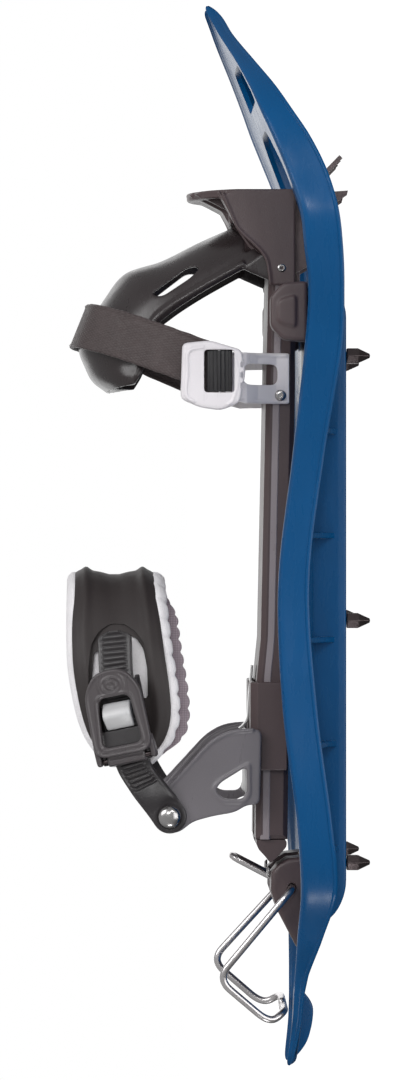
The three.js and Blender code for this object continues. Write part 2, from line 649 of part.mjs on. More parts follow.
function heelRivet(side) {
  const shank = [[0, -7.2], [5, -7.2], [5, -5.6], [RIVET_HOLE - FIT, -5.6]];
  const dome = [[RIVET_HOLE - FIT, 4.9], [5.8, 4.9], [5.2, 6.4], [3, 7.7], [0, 8.2]];
  return outwardHead([...shank, ...dome], side, [side * HEEL_PIVOT.x, HEEL_PIVOT.y, HEEL_PIVOT.z], 16);
}

// ---- ratchet buckle, drawn flat: strap along y, outward along x, then turned into place ----
const LEVER_PIN = { x: 7.4, y: -20.5, r: 1.5 };
const leverHole = () => pin("z", LEVER_PIN.r + FIT, -20, 20, [LEVER_PIN.x, LEVER_PIN.y, 0], 12);

function ratchetBase() {
  const side = [[0, -24], [6, -24], [9, -21.5], [9, -14], [5, 20], [0, 22]];
  const walls = [-13.4, 10.8].map((z) => planSlab(side, z, z + 2.6, 1));
  const floor = planSlab([[0, -22], [2, -22], [2.2, 4], [0, 8]], -13, 13);
  const bridge = planSlab([[7.4, -14], [9, -14], [8, -5], [6.6, -5]], -13, 13);
  const roof = planSlab([[7.2, 13], [6.4, 19], [5.4, 19], [5.4, 13]], -13, 13);
  return joined(...walls, floor, bridge, roof).subtract(leverHole());
}

function ratchetLever() {
  const near = [[-14, -15], [-18.5, -12], [-18.5, 12], [-14, 15]];
  const plate = [[25, 8], [26, 0], [25, -8], [18, -14], ...near, [18, 14]];
  const ring = sideSlab(plate, 9.6, 13.6, 0, 1.4);
  const ear = [[4.6, -24], [12, -24], [12, -8], [9.8, -8], [4.6, -16]];
  const ears = [-16.4, 13.6].map((z) => planSlab(ear, z, z + 2.8, 2));
  const opening = sideSlab([[12, 8], [12, -8], [-13, -10], [-13, 10]], 0, 20, 3);
  const thumb = pin("x", 7, 12.9, 20, [0, 18.5, 0], 16);
  return joined(ring, ...ears).subtract(opening).subtract(thumb).subtract(leverHole());
}

const leverPin = () => pin("z", LEVER_PIN.r, -16.2, 16.2, [LEVER_PIN.x, LEVER_PIN.y, 0], 12);

function ratchetPawl() {
  const side = [[7.8, -3.6], [9, -3.6], [14.2, 3], [13, 6], [7.4, 10], [7.2, 3]];
  return planSlab(side, -6.8, 6.8, 0.8);
}

// ---- assembly ----
function buildFrame() {
  add("deck", "deck", deck());
  const rows = ["front", "middle", "rear"];
  for (const [side, word] of [[1, "right"], [-1, "left"]]) {
    rows.forEach((row, i) => add(`spike_${row}_${word}`, "blued", spike(side, SPIKE_Y[i])));
    add(`pivot_housing_${word}`, "brown", pivotHousing(side));
    add(`block_screw_${word}`, "steel", blockScrew(side));
  }
  add("pivot_axle", "steel", pin("x", AXLE_R, -66, 66, [0, PIVOT.y, PIVOT.z]));
  add("heel_lift_block", "brown", heelLiftBlock());
  add("heel_lift_bail", "steel", heelLiftBail());
}

function buildBinding() {
  add("sole_plate", "brown", solePlate());
  add("toe_bumper", "brown", toeBumper());
  add("toe_claw", "blued", toeClaw());
  add("toe_yoke", "charcoal", toeYoke());
  add("toe_webbing", "webbing", toeWebbing());
  add("toe_buckle_frame", "white", toeBuckleFrame());
  add("toe_buckle_cam", "black", buckleCam());
  add("cam_pin", "steel", camPin());
  for (const [side, word] of [[1, "right"], [-1, "left"]]) {
    add(`plate_end_cap_${word}`, "brown", plateEndCap(side));
    add(`claw_rivet_${word}`, "steel", clawRivet(side));
    add(`yoke_screw_${word}`, "steel", yokeScrew(side));
    add(`toe_link_${word}`, "white", toeLink(side));
    add(`link_rivet_${word}`, "steel", linkRivet(side));
  }
}

function buildHeelUnit() {
  add("heel_carriage", "brown", heelCarriage());
  add("heel_cup", "charcoal", heelCup());
  add("length_latch", "steel", lengthLatch());
  add("heel_rivet_right", "steel", heelRivet(1));
  add("heel_rivet_left", "steel", heelRivet(-1));
}

function buildAnkleStrap() {
  add("ankle_liner", "foam", ankleLiner());
  add("ankle_shell", "black", ankleShell());
  add("ladder_strap", "black", ladderStrap());
  add("strap_left", "black", plainStrap());
  const ratchet = new THREE.Group();
  ratchet.position.set(RATCHET.x, RATCHET.y, RATCHET.z);
  ratchet.rotation.set(RATCHET.climb, -RATCHET.lean, 0, "YXZ");
  group.add(ratchet);
  add("ratchet_base", "black", ratchetBase(), ratchet);
  add("ratchet_lever", "black", ratchetLever(), ratchet);
  add("ratchet_lever_pin", "steel", leverPin(), ratchet);
  add("ratchet_pawl", "white", ratchetPawl(), ratchet);
}

buildFrame();
buildBinding();
buildHeelUnit();
buildAnkleStrap();

export default group;
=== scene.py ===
import math

import bmesh
import bpy
import numpy as np
from mathutils import Matrix, Vector


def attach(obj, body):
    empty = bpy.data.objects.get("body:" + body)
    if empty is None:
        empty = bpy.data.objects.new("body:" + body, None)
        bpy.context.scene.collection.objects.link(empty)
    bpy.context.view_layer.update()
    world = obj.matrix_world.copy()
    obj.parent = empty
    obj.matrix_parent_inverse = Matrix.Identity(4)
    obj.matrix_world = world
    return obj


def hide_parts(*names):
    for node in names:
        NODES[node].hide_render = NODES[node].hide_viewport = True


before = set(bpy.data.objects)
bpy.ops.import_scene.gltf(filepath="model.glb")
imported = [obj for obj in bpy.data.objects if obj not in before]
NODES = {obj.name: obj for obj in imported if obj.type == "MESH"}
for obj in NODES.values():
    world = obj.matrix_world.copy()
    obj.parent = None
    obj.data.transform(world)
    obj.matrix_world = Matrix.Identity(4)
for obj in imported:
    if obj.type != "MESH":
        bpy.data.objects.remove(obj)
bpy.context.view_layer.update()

# A snowshoe for the right foot. +Y points to the toe tip, +X to the buckle side, +Z up.
# Shapes are drawn in millimetres, as the CAD part is, and become metres when a mesh is made.
MM = 0.001


# ---------------------------------------------------------------- mesh helpers
def link(name, data):
    obj = bpy.data.objects.new(name, data)
    bpy.context.collection.objects.link(obj)
    return obj


def cleaned(mesh, weld=0.0, orient=True):
    """Weld points that are closer than a distance in metres, and turn every face outward."""
    work = bmesh.new()
    work.from_mesh(mesh)
    if weld:
        bmesh.ops.remove_doubles(work, verts=work.verts, dist=weld)
    if orient:
        bmesh.ops.recalc_face_normals(work, faces=work.faces)
    work.to_mesh(mesh)
    work.free()
    return mesh


def mesh_object(name, points, faces):
    mesh = bpy.data.meshes.new(name)
    mesh.from_pydata([tuple(float(c) * MM for c in p) for p in points], [], faces)
    return link(name, cleaned(mesh))


def discard(obj):
    data = obj.data
    bpy.data.objects.remove(obj)
    if isinstance(data, bpy.types.Mesh):
        bpy.data.meshes.remove(data)


def evaluated(obj):
    """A new mesh of the object as it looks with its modifiers."""
    graph = bpy.context.evaluated_depsgraph_get()
    return bpy.data.meshes.new_from_object(obj.evaluated_get(graph))


def settle(obj):
    """Apply every modifier."""
    made = evaluated(obj)
    obj.modifiers.clear()
    obj.data = made
    return obj


def joined(name, objects):
    whole = bmesh.new()
    for obj in objects:
        whole.from_mesh(obj.data)
        discard(obj)
    mesh = bpy.data.meshes.new(name)
    whole.to_mesh(mesh)
    whole.free()
    return link(name, mesh)


def shade(obj, angle=40):
    """Smooth shading, with edges sharper than an angle kept crisp."""
    obj.data.shade_smooth()
    obj.data.set_sharp_from_angle(angle=math.radians(angle))
    return obj


def combined(obj, others, operation, use_self=False):
    """Exact booleans of one object with others, which are used up."""
    for other in others:
        step = obj.modifiers.new("combine", "BOOLEAN")
        step.operation, step.solver, step.object = operation, "EXACT", other
        step.use_self = use_self
    if others:
        settle(obj)
    for other in others:
        discard(other)
    return obj


def carve(obj, cutters):
    return combined(obj, cutters, "DIFFERENCE", use_self=True)


def merged(name, objects):
    """Overlapping solids as one."""
    whole = combined(objects[0], objects[1:], "UNION")
    whole.name = name
    return whole


def soften(obj, width, weld=False):
    """Small round edges by modifier. The vertices underneath stay as they are."""
    if weld:
        obj.modifiers.new("weld", "WELD").merge_threshold = 1e-6
    bevel = obj.modifiers.new("round", "BEVEL")
    bevel.width, bevel.segments = width * MM, 2
    bevel.limit_method, bevel.angle_limit = "ANGLE", math.radians(30)
    obj.data.shade_smooth()
    obj.modifiers.new("crisp", "WEIGHTED_NORMAL").keep_sharp = True
    return obj


def moulded(name, parts, cutters=(), voxel=0.7, rounds=3, keep=0.5):
    """Overlapping solids as one moulding with soft edges: joined, cut, remeshed, smoothed and thinned out."""
    obj = carve(joined(name, parts), cutters)
    remesh = obj.modifiers.new("remesh", "REMESH")
    remesh.mode, remesh.voxel_size = "VOXEL", voxel * MM
    smooth = obj.modifiers.new("smooth", "SMOOTH")
    smooth.factor, smooth.iterations = 0.5, rounds
    thin = obj.modifiers.new("thin", "DECIMATE")
    thin.ratio = keep
    settle(obj)
    obj.data.shade_smooth()
    return obj


def subdivided(obj):
    soft = obj.modifiers.new("soft", "SUBSURF")
    soft.levels = soft.render_levels = 1
    settle(obj)
    obj.data.shade_smooth()
    return obj


def lerp(a, b, t):
    return a + (b - a) * t


def clamp(t, low=0.0, high=1.0):
    return min(max(t, low), high)


def smoothstep(t, low, high):
    t = clamp((t - low) / (high - low))
    return t * t * (3 - 2 * t)


def through(points):
    """A smooth curve z(y) through the points of a table, in rising y."""
    table = np.array(points, float)
    spans = [table[min(i + 1, len(table) - 1)] - table[max(i - 1, 0)] for i in range(len(table))]
    slope = [rise / run for run, rise in spans]

    def value(y):
        i = int(np.clip(np.searchsorted(table[:, 0], y) - 1, 0, len(table) - 2))
        step = table[i + 1, 0] - table[i, 0]
        t = clamp((y - table[i, 0]) / step)
        near = (1 + 2 * t) * (1 - t) ** 2
        turn = t * (1 - t) ** 2 * step * slope[i] + t * t * (t - 1) * step * slope[i + 1]
        return near * table[i, 1] + (1 - near) * table[i + 1, 1] + turn

    return value


def spot_on(points, t):
    """The point at t, from 0 to 1, on a centripetal Catmull-Rom curve through the given points."""
    p = np.array(points, float)
    p = np.vstack([2 * p[0] - p[1], p, 2 * p[-1] - p[-2]])
    place = t * (len(points) - 1)
    k = min(int(place), len(points) - 2)
    t = place - k
    a, b, c, d = p[k : k + 4]
    first, middle, last = (math.sqrt(np.linalg.norm(v)) for v in (b - a, c - b, d - c))
    leave = (b - a) / first - (c - a) / (first + middle) + (c - b) / middle
    arrive = (c - b) / middle - (d - b) / (middle + last) + (d - c) / last
    near = (1 + 2 * t) * (1 - t) ** 2
    return near * b + (1 - near) * c + middle * (t * (1 - t) ** 2 * leave + t * t * (t - 1) * arrive)


def route(points, steps):
    """Evenly spaced points on the curve through the given ones."""
    return even([spot_on(points, t) for t in np.linspace(0, 1, 24 * len(points))], steps)


def even(points, steps):
    """The same line with evenly spaced points."""
    line = np.array(points, float)
    run = np.concatenate([[0], np.cumsum(np.linalg.norm(np.diff(line, axis=0), axis=1))])
    spots = np.linspace(0, run[-1], steps + 1)
    return np.stack([np.interp(spots, run, line[:, k]) for k in range(line.shape[1])], axis=1)


def between(points, t):
    """The place at t, from 0 to 1, on the straight stretches between points."""
    place = clamp(t) * (len(points) - 1)
    k = min(int(place), len(points) - 2)
    return lerp(points[k], points[k + 1], place - k)


def length_of(line):
    return float(np.sum(np.linalg.norm(np.diff(line, axis=0), axis=1)))


def bend(before, corner, after, radius, steps):
    """A round bend in place of a corner. It takes less than half of either side."""
    ends = []
    for side in (before - corner, after - corner):
        length = np.linalg.norm(side)
        ends.append(corner + side * (min(radius, length / 2.1) / length))
    turns = np.linspace(0, 1, steps)
    return [(1 - t) ** 2 * ends[0] + 2 * t * (1 - t) * corner + t * t * ends[1] for t in turns]


def bent(points, radius, steps=8):
    """Straight stretches joined by round bends."""
    spots = [np.array(p, float) for p in points]
    line = [spots[0]]
    for before, corner, after in zip(spots, spots[1:], spots[2:]):
        line += bend(before, corner, after, radius, steps)
    return np.array([*line, spots[-1]])


def rounded(points, radius, steps=5):
    """A closed outline with its corners cut round."""
    spots = [np.array(p, float) for p in points]
    if radius <= 0:
        return spots
    line = []
    for i, corner in enumerate(spots):
        line += bend(spots[i - 1], corner, spots[(i + 1) % len(spots)], radius, steps)
    return line


def loft(name, rings, caps=True):
    """A skin over closed rings of points. The rings all have the same number of points."""
    count = len(rings[0])
    faces = []
    for start in range(0, (len(rings) - 1) * count, count):
        for i in range(count):
            n = (i + 1) % count
            faces.append((start + i, start + n, start + count + n, start + count + i))
    if caps:
        faces.append(tuple(range(count)))
        faces.append(tuple((len(rings) - 1) * count + i for i in reversed(range(count))))
    return mesh_object(name, [p for ring in rings for p in ring], faces)


def directions(line):
    """The unit tangent at each point of a line."""
    tangents = np.gradient(line, axis=0)
    return tangents / np.linalg.norm(tangents, axis=1)[:, None]


def frames_along(line, across):
    """Tangent, side and normal at each point of a line. across(u) is the direction of its width."""
    for i, tangent in enumerate(directions(line)):
        wide = np.array(across(i / (len(line) - 1)), float)
        side = wide - tangent * (wide @ tangent)
        side /= np.linalg.norm(side)
        yield tangent, side, np.cross(side, tangent)


def sweep(name, line, across, section):
    """A section carried along a line. section(u) gives its points as (across, outward) pairs."""
    last = len(line) - 1
    rings = [
        [spot + side * a + normal * b for a, b in section(i / last)]
        for i, (spot, (_, side, normal)) in enumerate(zip(line, frames_along(line, across)))
    ]
    return loft(name, rings)


def wire(name, line, radius, sides=14):
    """Round wire along a line. Its frame is carried along without twist."""
    line = np.array(line, float)
    tangents = directions(line)
    side = np.cross(tangents[0], [0.3, 0.2, 1.0])
    rings = []
    for spot, tangent in zip(line, tangents):
        side = side - tangent * (side @ tangent)
        side /= np.linalg.norm(side)
        other = np.cross(tangent, side)
        turns = np.arange(sides) / sides * 2 * math.pi
        rings.append([spot + radius * (math.cos(a) * side + math.sin(a) * other) for a in turns])
    return shade(loft(name, rings))


def block(name, nu, nv, place):
    """A block of nu x nv x 1 cells, each corner of which is put in its place by place(u, v, w)."""
    rings = []
    for i in range(nu + 1):
        row = [place(i / nu, j / nv, 1) for j in range(nv + 1)]
        rings.append(row + [place(i / nu, j / nv, 0) for j in range(nv, -1, -1)])
    count = 2 * (nv + 1)
    obj = loft(name, rings, caps=False)
    lids = bmesh.new()
    lids.from_mesh(obj.data)
    lids.verts.ensure_lookup_table()
    for start in (0, nu * count):
        for j in range(nv):
            ring = (start + j, start + j + 1, start + count - 2 - j, start + count - 1 - j)
            lids.faces.new([lids.verts[k] for k in ring])
    bmesh.ops.recalc_face_normals(lids, faces=lids.faces)
    lids.to_mesh(obj.data)
    lids.free()
    return obj


BASES = {
    "x": Matrix(((0, 0, 1, 0), (1, 0, 0, 0), (0, 1, 0, 0), (0, 0, 0, 1))),
    "y": Matrix(((0, 1, 0, 0), (0, 0, 1, 0), (1, 0, 0, 0), (0, 0, 0, 1))),
    "z": Matrix.Identity(4),
}


def slab(name, axis, points, low, high, radius=0, holes=(), edge=0.5):
    """A sheet cut to an outline, between two places on an axis, with its edges rounded.
    Its points are (y, z) on the x axis, (z, x) on the y axis and (x, y) on the z axis."""
    shape = bpy.data.curves.new(name, "CURVE")
    shape.dimensions, shape.fill_mode = "2D", "BOTH"
    for k, loop in enumerate((points, *holes)):
        loop = np.array(rounded(loop, radius))
        turn = np.roll(loop, -1, axis=0)
        area = float(np.sum(loop[:, 0] * turn[:, 1] - turn[:, 0] * loop[:, 1]))
        if (area > 0) == (k > 0):
            loop = loop[::-1]
        spline = shape.splines.new("POLY")
        spline.points.add(len(loop) - 1)
        for spot, (a, b) in zip(spline.points, loop):
            spot.co = (a * MM, b * MM, 0, 1)
        spline.use_cyclic_u = True
    shape.extrude = ((high - low) / 2 - edge) * MM
    shape.bevel_depth, shape.offset, shape.bevel_resolution = edge * MM, -edge * MM, 2
    obj = link(name, shape)
    mesh = evaluated(obj)
    bpy.data.objects.remove(obj)
    bpy.data.curves.remove(shape)
    mesh.transform(BASES[axis] @ Matrix.Translation((0, 0, (low + high) / 2 * MM)))
    return shade(link(name, cleaned(mesh, 1e-6)))


def both_sides(name, points, inner, outer, side, **how):
    """A slab on the x axis whose faces are given for the right side."""
    low, high = (inner, outer) if side > 0 else (-outer, -inner)
    return slab(name, "x", points, low, high, **how)


def side_word(side):
    return "right" if side > 0 else "left"


def mirrored(points):
    """An outline from its right half, which runs upward."""
    (a, b), *rest = points
    return [(-a, b), (a, b), *rest, *((-x, y) for x, y in reversed(rest))]


def rectangle(a0, b0, a1, b1):
    return [(a0, b0), (a1, b0), (a1, b1), (a0, b1)]


def turned(name, axis, profile, centre, sides=40, rise=1):
    """A turned piece. Its profile is (radius, height), and with rise -1 it points the other way."""
    turns = [2 * math.pi * i / sides for i in range(sides)]
    rings = []
    for radius, height in profile:
        radius = max(radius, 0.01)
        rings.append([(radius * math.cos(turn), radius * math.sin(turn), rise * height) for turn in turns])
    obj = loft(name, rings)
    obj.data.transform(Matrix.Translation([c * MM for c in centre]) @ BASES[axis])
    return shade(obj, 35)


# ---------------------------------------------------------------- materials
def set_inputs(tree, node, inputs):
    """Link a node's inputs to other nodes' outputs, or set them to plain values."""
    for key, value in inputs.items():
        if isinstance(value, bpy.types.NodeSocket):
            tree.links.new(value, node.inputs[key])
        else:
            node.inputs[key].default_value = value


def add_node(tree, kind, inputs=None, **settings):
    node = tree.nodes.new(kind)
    for key, value in settings.items():
        setattr(node, key, value)
    set_inputs(tree, node, inputs or {})
    return node


class Paint:
    """A node material. Its textures are placed by object coordinates, which are metres."""

    def __init__(self, name, colour, inputs):
        self.material = bpy.data.materials.new(name)
        self.material.use_nodes = True
        self.tree = self.material.node_tree
        self.shader = self.tree.nodes["Principled BSDF"]
        self.coords = self.add("ShaderNodeTexCoord").outputs["Object"]
        self.colour = colour
        set_inputs(self.tree, self.shader, inputs)

    def add(self, kind, inputs=None, **settings):
        return add_node(self.tree, kind, inputs, **settings)

    def noise(self, size, detail=2.0, rough=0.5, stretch=None):
        """Noise whose grains are about as large as size, in millimetres."""
        where = self.coords
        if stretch:
            where = self.add("ShaderNodeMapping", {"Vector": where, "Scale": stretch}).outputs[0]
        settings = {"Vector": where, "Scale": 1 / (size * MM), "Detail": detail, "Roughness": rough}
        return self.add("ShaderNodeTexNoise", settings).outputs["Fac"]

    def spread(self, value, low, high, start=0.3, end=0.7):
        """A value between start and end, spread over low to high."""
        inputs = {"Value": value, "From Min": start, "From Max": end, "To Min": low, "To Max": high}
        return self.add("ShaderNodeMapRange", inputs).outputs["Result"]

    def maths(self, operation, a, b):
        return self.add("ShaderNodeMath", {0: a, 1: b}, operation=operation).outputs[0]

    def mix(self, share, a, b):
        a, b = ((*tone, 1) if isinstance(tone, tuple) else tone for tone in (a, b))
        return self.add("ShaderNodeMix", {"Factor": share, 6: a, 7: b}, data_type="RGBA").outputs[2]

    def tinted(self, size, amount, share=0.5):
        """The base colour, a little lighter and darker in patches, and with fine specks."""
        light = tuple(min(1, c * (1 + amount) + 0.01 * amount) for c in self.colour)
        dark = tuple(c * (1 - amount) for c in self.colour)
        patches = self.mix(self.spread(self.noise(size, 3), 0, 1), dark, light)
        specks = self.spread(self.noise(0.9, 1), 0, share, 0.55, 0.8)
        return self.mix(specks, patches, light)

    def edges(self, radius):
        """How near the surface is to an edge, and a normal rounded off there."""
        soft = self.add("ShaderNodeBevel", {"Radius": radius * MM}, samples=4).outputs["Normal"]
        plain = self.add("ShaderNodeNewGeometry").outputs["Normal"]
        dot = self.add("ShaderNodeVectorMath", {0: soft, 1: plain}, operation="DOT_PRODUCT")
        return self.spread(dot.outputs["Value"], 1, 0, 0.72, 0.985), soft

    def finish(self, colour, rough, height=None, depth=0.05, normal=None):
        inputs = {"Base Color": colour, "Roughness": rough}
        if height is not None:
            bump = {"Height": height, "Distance": depth * MM, "Strength": 1.0}
            if normal is not None:
                bump["Normal"] = normal
            inputs["Normal"] = self.add("ShaderNodeBump", bump).outputs[0]
        set_inputs(self.tree, self.shader, inputs)
        return self.material


PLASTIC_EDGE, METAL_EDGE = 0.5, 0.3  # how far a worn edge reaches


def plastic(name, colour, rough, grain=0.05, wear=0.25, specular=0.5):
    """Moulded plastic: patches and specks in the colour, a fine grain, scuffs, and paler worn edges."""
    paint = Paint(name, colour, {"Specular IOR Level": specular})
    edge, soft = paint.edges(PLASTIC_EDGE)
    scuffs = paint.spread(paint.noise(26, 6, 0.62), 0.25, 1, 0.4, 0.62)
    worn = tuple(c * 0.75 + 0.14 for c in colour)
    share = paint.maths("MULTIPLY", paint.maths("MULTIPLY", edge, scuffs), wear)
    tone = paint.mix(share, paint.tinted(60, 0.08), worn)
    streaks = paint.noise(7, 4, 0.6, stretch=(1, 0.25, 1))
    gloss = paint.spread(streaks, rough - 0.05, rough + 0.07)
    height = paint.maths("ADD", paint.noise(0.7, 2), paint.maths("MULTIPLY", paint.noise(14, 2), 1.5))
    return paint.finish(tone, gloss, height, grain, soft)


def metal(name, colour, rough, brush=None, wear=0.3, grain=0.02):
    """Metal: cloudy reflections, fine brush marks along one axis, and brighter worn edges."""
    paint = Paint(name, colour, {"Metallic": 1.0})
    edge, soft = paint.edges(METAL_EDGE)
    tone = paint.mix(paint.maths("MULTIPLY", edge, wear), paint.tinted(18, 0.12), (0.8, 0.79, 0.78))
    marks = paint.noise(0.5, 3, 0.6, stretch=brush or (1, 1, 1))
    gloss = paint.spread(paint.noise(9, 4, 0.6), rough - 0.05, rough + 0.08)
    return paint.finish(tone, gloss, marks, grain, soft)


def foam(name, colour):
    """Closed cell foam: tiny cells, a few larger pores, and a soft matt surface."""
    under = {"Subsurface Weight": 0.15, "Subsurface Radius": (1, 1, 1), "Subsurface Scale": 1.5 * MM}
    paint = Paint(name, colour, {"Sheen Weight": 0.25, **under})
    cells = paint.add("ShaderNodeTexVoronoi", {"Vector": paint.coords, "Scale": 1 / (0.8 * MM)})
    pores = paint.spread(cells.outputs["Distance"], 0, 1, 0.05, 0.6)
    shadow = tuple(c * 0.82 for c in colour)
    tone = paint.mix(paint.spread(pores, 0.0, 1, 0, 0.4), shadow, paint.tinted(15, 0.06))
    return paint.finish(tone, paint.spread(paint.noise(6), 0.78, 0.92), pores, 0.18)


def fabric(name, colour, pitch):
    """Plain woven cloth. Its yarns follow the object's y and z, pitch millimetres apart."""
    paint = Paint(name, colour, {"Sheen Weight": 0.5, "Sheen Roughness": 0.4})
    yarns = []
    for direction in ("Y", "Z"):
        wave = paint.add(
            "ShaderNodeTexWave",
            {"Vector": paint.coords, "Scale": 0.314 / (pitch * MM), "Distortion": 1.2, "Detail": 1.0},
            bands_direction=direction,
        )
        yarns.append(wave.outputs["Fac"])
    weave = paint.maths("MULTIPLY", *yarns)
    # The hollows between the yarns are painted darker: painted shade in the weave.
    dark = tuple(c * 0.55 for c in colour)
    tone = paint.mix(paint.spread(weave, 0, 1, 0.0, 0.5), dark, paint.tinted(12, 0.14))
    fuzz = paint.maths("ADD", weave, paint.maths("MULTIPLY", paint.noise(0.35, 2), 0.5))
    return paint.finish(tone, paint.spread(paint.noise(3), 0.65, 0.85), fuzz, 0.12)


def webbing_cloth(name, colour):
    """Strap webbing. The yarns themselves are in the mesh, and its UVs count them."""
    paint = Paint(name, colour, {"Sheen Weight": 0.4, "Sheen Roughness": 0.35})
    uv = paint.add("ShaderNodeTexCoord").outputs["UV"]
    checks = paint.add("ShaderNodeTexChecker", {"Vector": uv, "Scale": 1.0}).outputs["Fac"]
    lighter = tuple(c * 1.3 + 0.012 for c in colour)
    tone = paint.mix(paint.maths("MULTIPLY", checks, 0.5), paint.tinted(10, 0.16), lighter)
    threads = paint.noise(0.4, 3, 0.6, stretch=(1, 0.3, 1))
    return paint.finish(tone, paint.spread(paint.noise(2), 0.5, 0.72), threads, 0.15)


DECK_BLUE = plastic("deck_blue", (0.0, 0.067, 0.2), 0.27, grain=0.015, wear=0.1, specular=0.24)
BROWN = plastic("brown_nylon", (0.08, 0.055, 0.057), 0.4, grain=0.06, wear=0.3)
# painted highlight: a lighter copy of the brown nylon, for the light on the plate's upper chamfer
HIGHLIGHT_BROWN = plastic("highlight_nylon", (0.27, 0.235, 0.25), 0.3, grain=0.03, wear=0.2)
CHARCOAL = plastic("charcoal_nylon", (0.026, 0.02, 0.021), 0.27, grain=0.03, wear=0.22)
ARM_GREY = plastic("grey_nylon", (0.17, 0.158, 0.172), 0.3, grain=0.04, wear=0.25)
SHELL_BLACK = plastic("shell_rubber", (0.034, 0.028, 0.028), 0.5, grain=0.05, wear=0.25, specular=0.3)
LEVER_BLACK = plastic("lever_nylon", (0.075, 0.066, 0.07), 0.3, grain=0.03, wear=0.3)
BLACK = plastic("black_nylon", (0.026, 0.023, 0.025), 0.34, grain=0.05, wear=0.2)
RUBBER = plastic("black_rubber", (0.014, 0.013, 0.015), 0.5, grain=0.07, wear=0.12)
WHITE = plastic("white_acetal", (0.76, 0.73, 0.76), 0.3, grain=0.03, wear=0.1)
PAWL_GREY = plastic("grey_acetal", (0.58, 0.58, 0.59), 0.3, grain=0.03, wear=0.3)
FOAM = foam("white_foam", (0.86, 0.84, 0.86))
LINING = fabric("lining_cloth", (0.42, 0.345, 0.385), 0.9)
WEBBING_CLOTH = webbing_cloth("brown_webbing", (0.05, 0.036, 0.036))
CHROME = metal("bright_wire", (0.62, 0.6, 0.605), 0.26, grain=0.012)
STEEL = metal("polished_steel", (0.42, 0.41, 0.41), 0.22)
SPRING = metal("spring_steel", (0.6, 0.6, 0.6), 0.3, brush=(1, 0.08, 1))
BLUED = metal("blued_steel", (0.085, 0.07, 0.072), 0.38, wear=0.55, grain=0.06)


def piece(obj, paint, body, nodes=()):
    """Paint a finished object and hand it to the frame."""
    obj.data.materials.clear()
    obj.data.materials.append(paint)
    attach(obj, body)
    for node in nodes:
        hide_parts(node)
    return obj


# ---------------------------------------------------------------- deck
HALF_LENGTH = 285  # half of the deck's length
SKIN = 3
FLOOR_Z = 33.4
TAIL_ROUND_Y = -273
TIP_HALF = 12
TIP_ROUND = 4
RAIL_Z = 12.8
RAIL_X = (53, 61)
WEB_Y = (-165, -110, -55, 0, 55)
SPIKE_Y = (95, -45, -173)
# cross ribs on the deck beside the binding
TREAD = {"rise": 0.9, "pitch": 9.5, "inner": 47, "outer": 63, "rear": -150, "front": 88}
# y, half width, height of the rim's crest, height of the outer wall's lower edge
DECK_STATIONS = [
    (-285, 20, 42.9, 40), (-262, 29, 40.2, 35.6), (-238, 44, 39.4, 33.2), (-212, 68, 38.8, 25.4),
    (-186, 88, 37.7, 18.9), (-150, 96, 40.2, 22), (-90, 92, 47.5, 29.6), (-25, 88, 49.6, 33.5),
    (40, 90, 42.4, 26), (100, 98, 36, 16.5), (130, 103, 34.4, 15.8), (150, 105, 36.6, 16.6),
    (170, 106, 39, 19), (190, 102, 45.6, 24.8), (208, 98, 53, 33.4), (222, 92, 59, 42.2),
    (236, 81, 64.6, 51), (251, 62, 71.4, 61.5), (267, 36, 79.4, 72), (278, 20, 84.3, 77.4),
    (285, 12, 87.4, 82.9),
]
plain_half_width, crest_z, wall_z = (through([(row[0], row[k]) for row in DECK_STATIONS]) for k in (1, 2, 3))


def half_width(y):
    """The toe is pointed in plan, and the tail has a small round end."""
    tail = clamp((TAIL_ROUND_Y - y) / (HALF_LENGTH + TAIL_ROUND_Y))
    return max(TIP_HALF, plain_half_width(y) * math.sqrt(1 - 0.5 * tail * tail))


def floor_z(y):
    """Flat in the middle, and close under the rim at both ends."""
    rise = max(smoothstep(y, 140, 172), smoothstep(-y, 222, 255))
    return min(lerp(FLOOR_Z, crest_z(y) - 2.2, rise), crest_z(y) - 1)


def deck_section(y):
    """Half of the deck's section, from the middle of its top face round the rim to the middle below."""
    w, floor, crest, wall = half_width(y), floor_z(y), crest_z(y), wall_z(y)
    high = crest - floor
    middle = crest - 0.5 * (crest - wall)
    below = min(middle, crest - SKIN - 1.6)
    lip = min(2.4, (crest - wall) / 3)
    return [
        (0, floor), (0.4 * w, floor), (0.7 * w, floor), (0.78 * w, floor + 0.03 * high),
        (0.84 * w, floor + 0.22 * high), (0.885 * w, floor + 0.62 * high), (0.92 * w, crest - 0.9),
        (0.943 * w, crest - 0.15), (0.962 * w, crest), (0.982 * w, crest - 0.8),
        (0.995 * w, crest - 2.2), (w, middle), (w + 0.1, wall + lip), (w + 0.9, wall + 0.75 * lip),
        (w + 1.1, wall + 0.4 * lip), (w + 0.7, wall), (w - 1.8, wall), (w - 2.6, wall + 0.4),
        (w - SKIN + 0.2, below), (0.962 * w - 1.8, crest - SKIN - 0.4), (0.92 * w - 1.6, crest - SKIN - 0.8),
        (0.86 * w - 1, floor + 0.3 * high - SKIN + 0.1), (0.76 * w - 0.4, floor - SKIN),
        (0.4 * w, floor - SKIN), (0, floor - SKIN),
    ]


def section_weights(counts):
    """Weights that turn a section's points into a finer smooth line, with counts[i] points after point i."""
    rows = []
    for i, count in enumerate(counts):
        for k in range(count):
            t = k / count
            row = np.zeros(len(counts) + 3)
            row[i : i + 4] = (
                -t / 2 + t * t - t**3 / 2, 1 - 2.5 * t * t + 1.5 * t**3,
                t / 2 + 2 * t * t - 1.5 * t**3, -t * t / 2 + t**3 / 2,
            )
            rows.append(row)
    return np.array(rows)


FINE = [1, 8, *[3] * 10, *[1] * 12]  # finer where the section is seen, and across the treads
TOP_POINTS = sum(FINE[:12])
SECTION_WEIGHTS = section_weights(FINE)


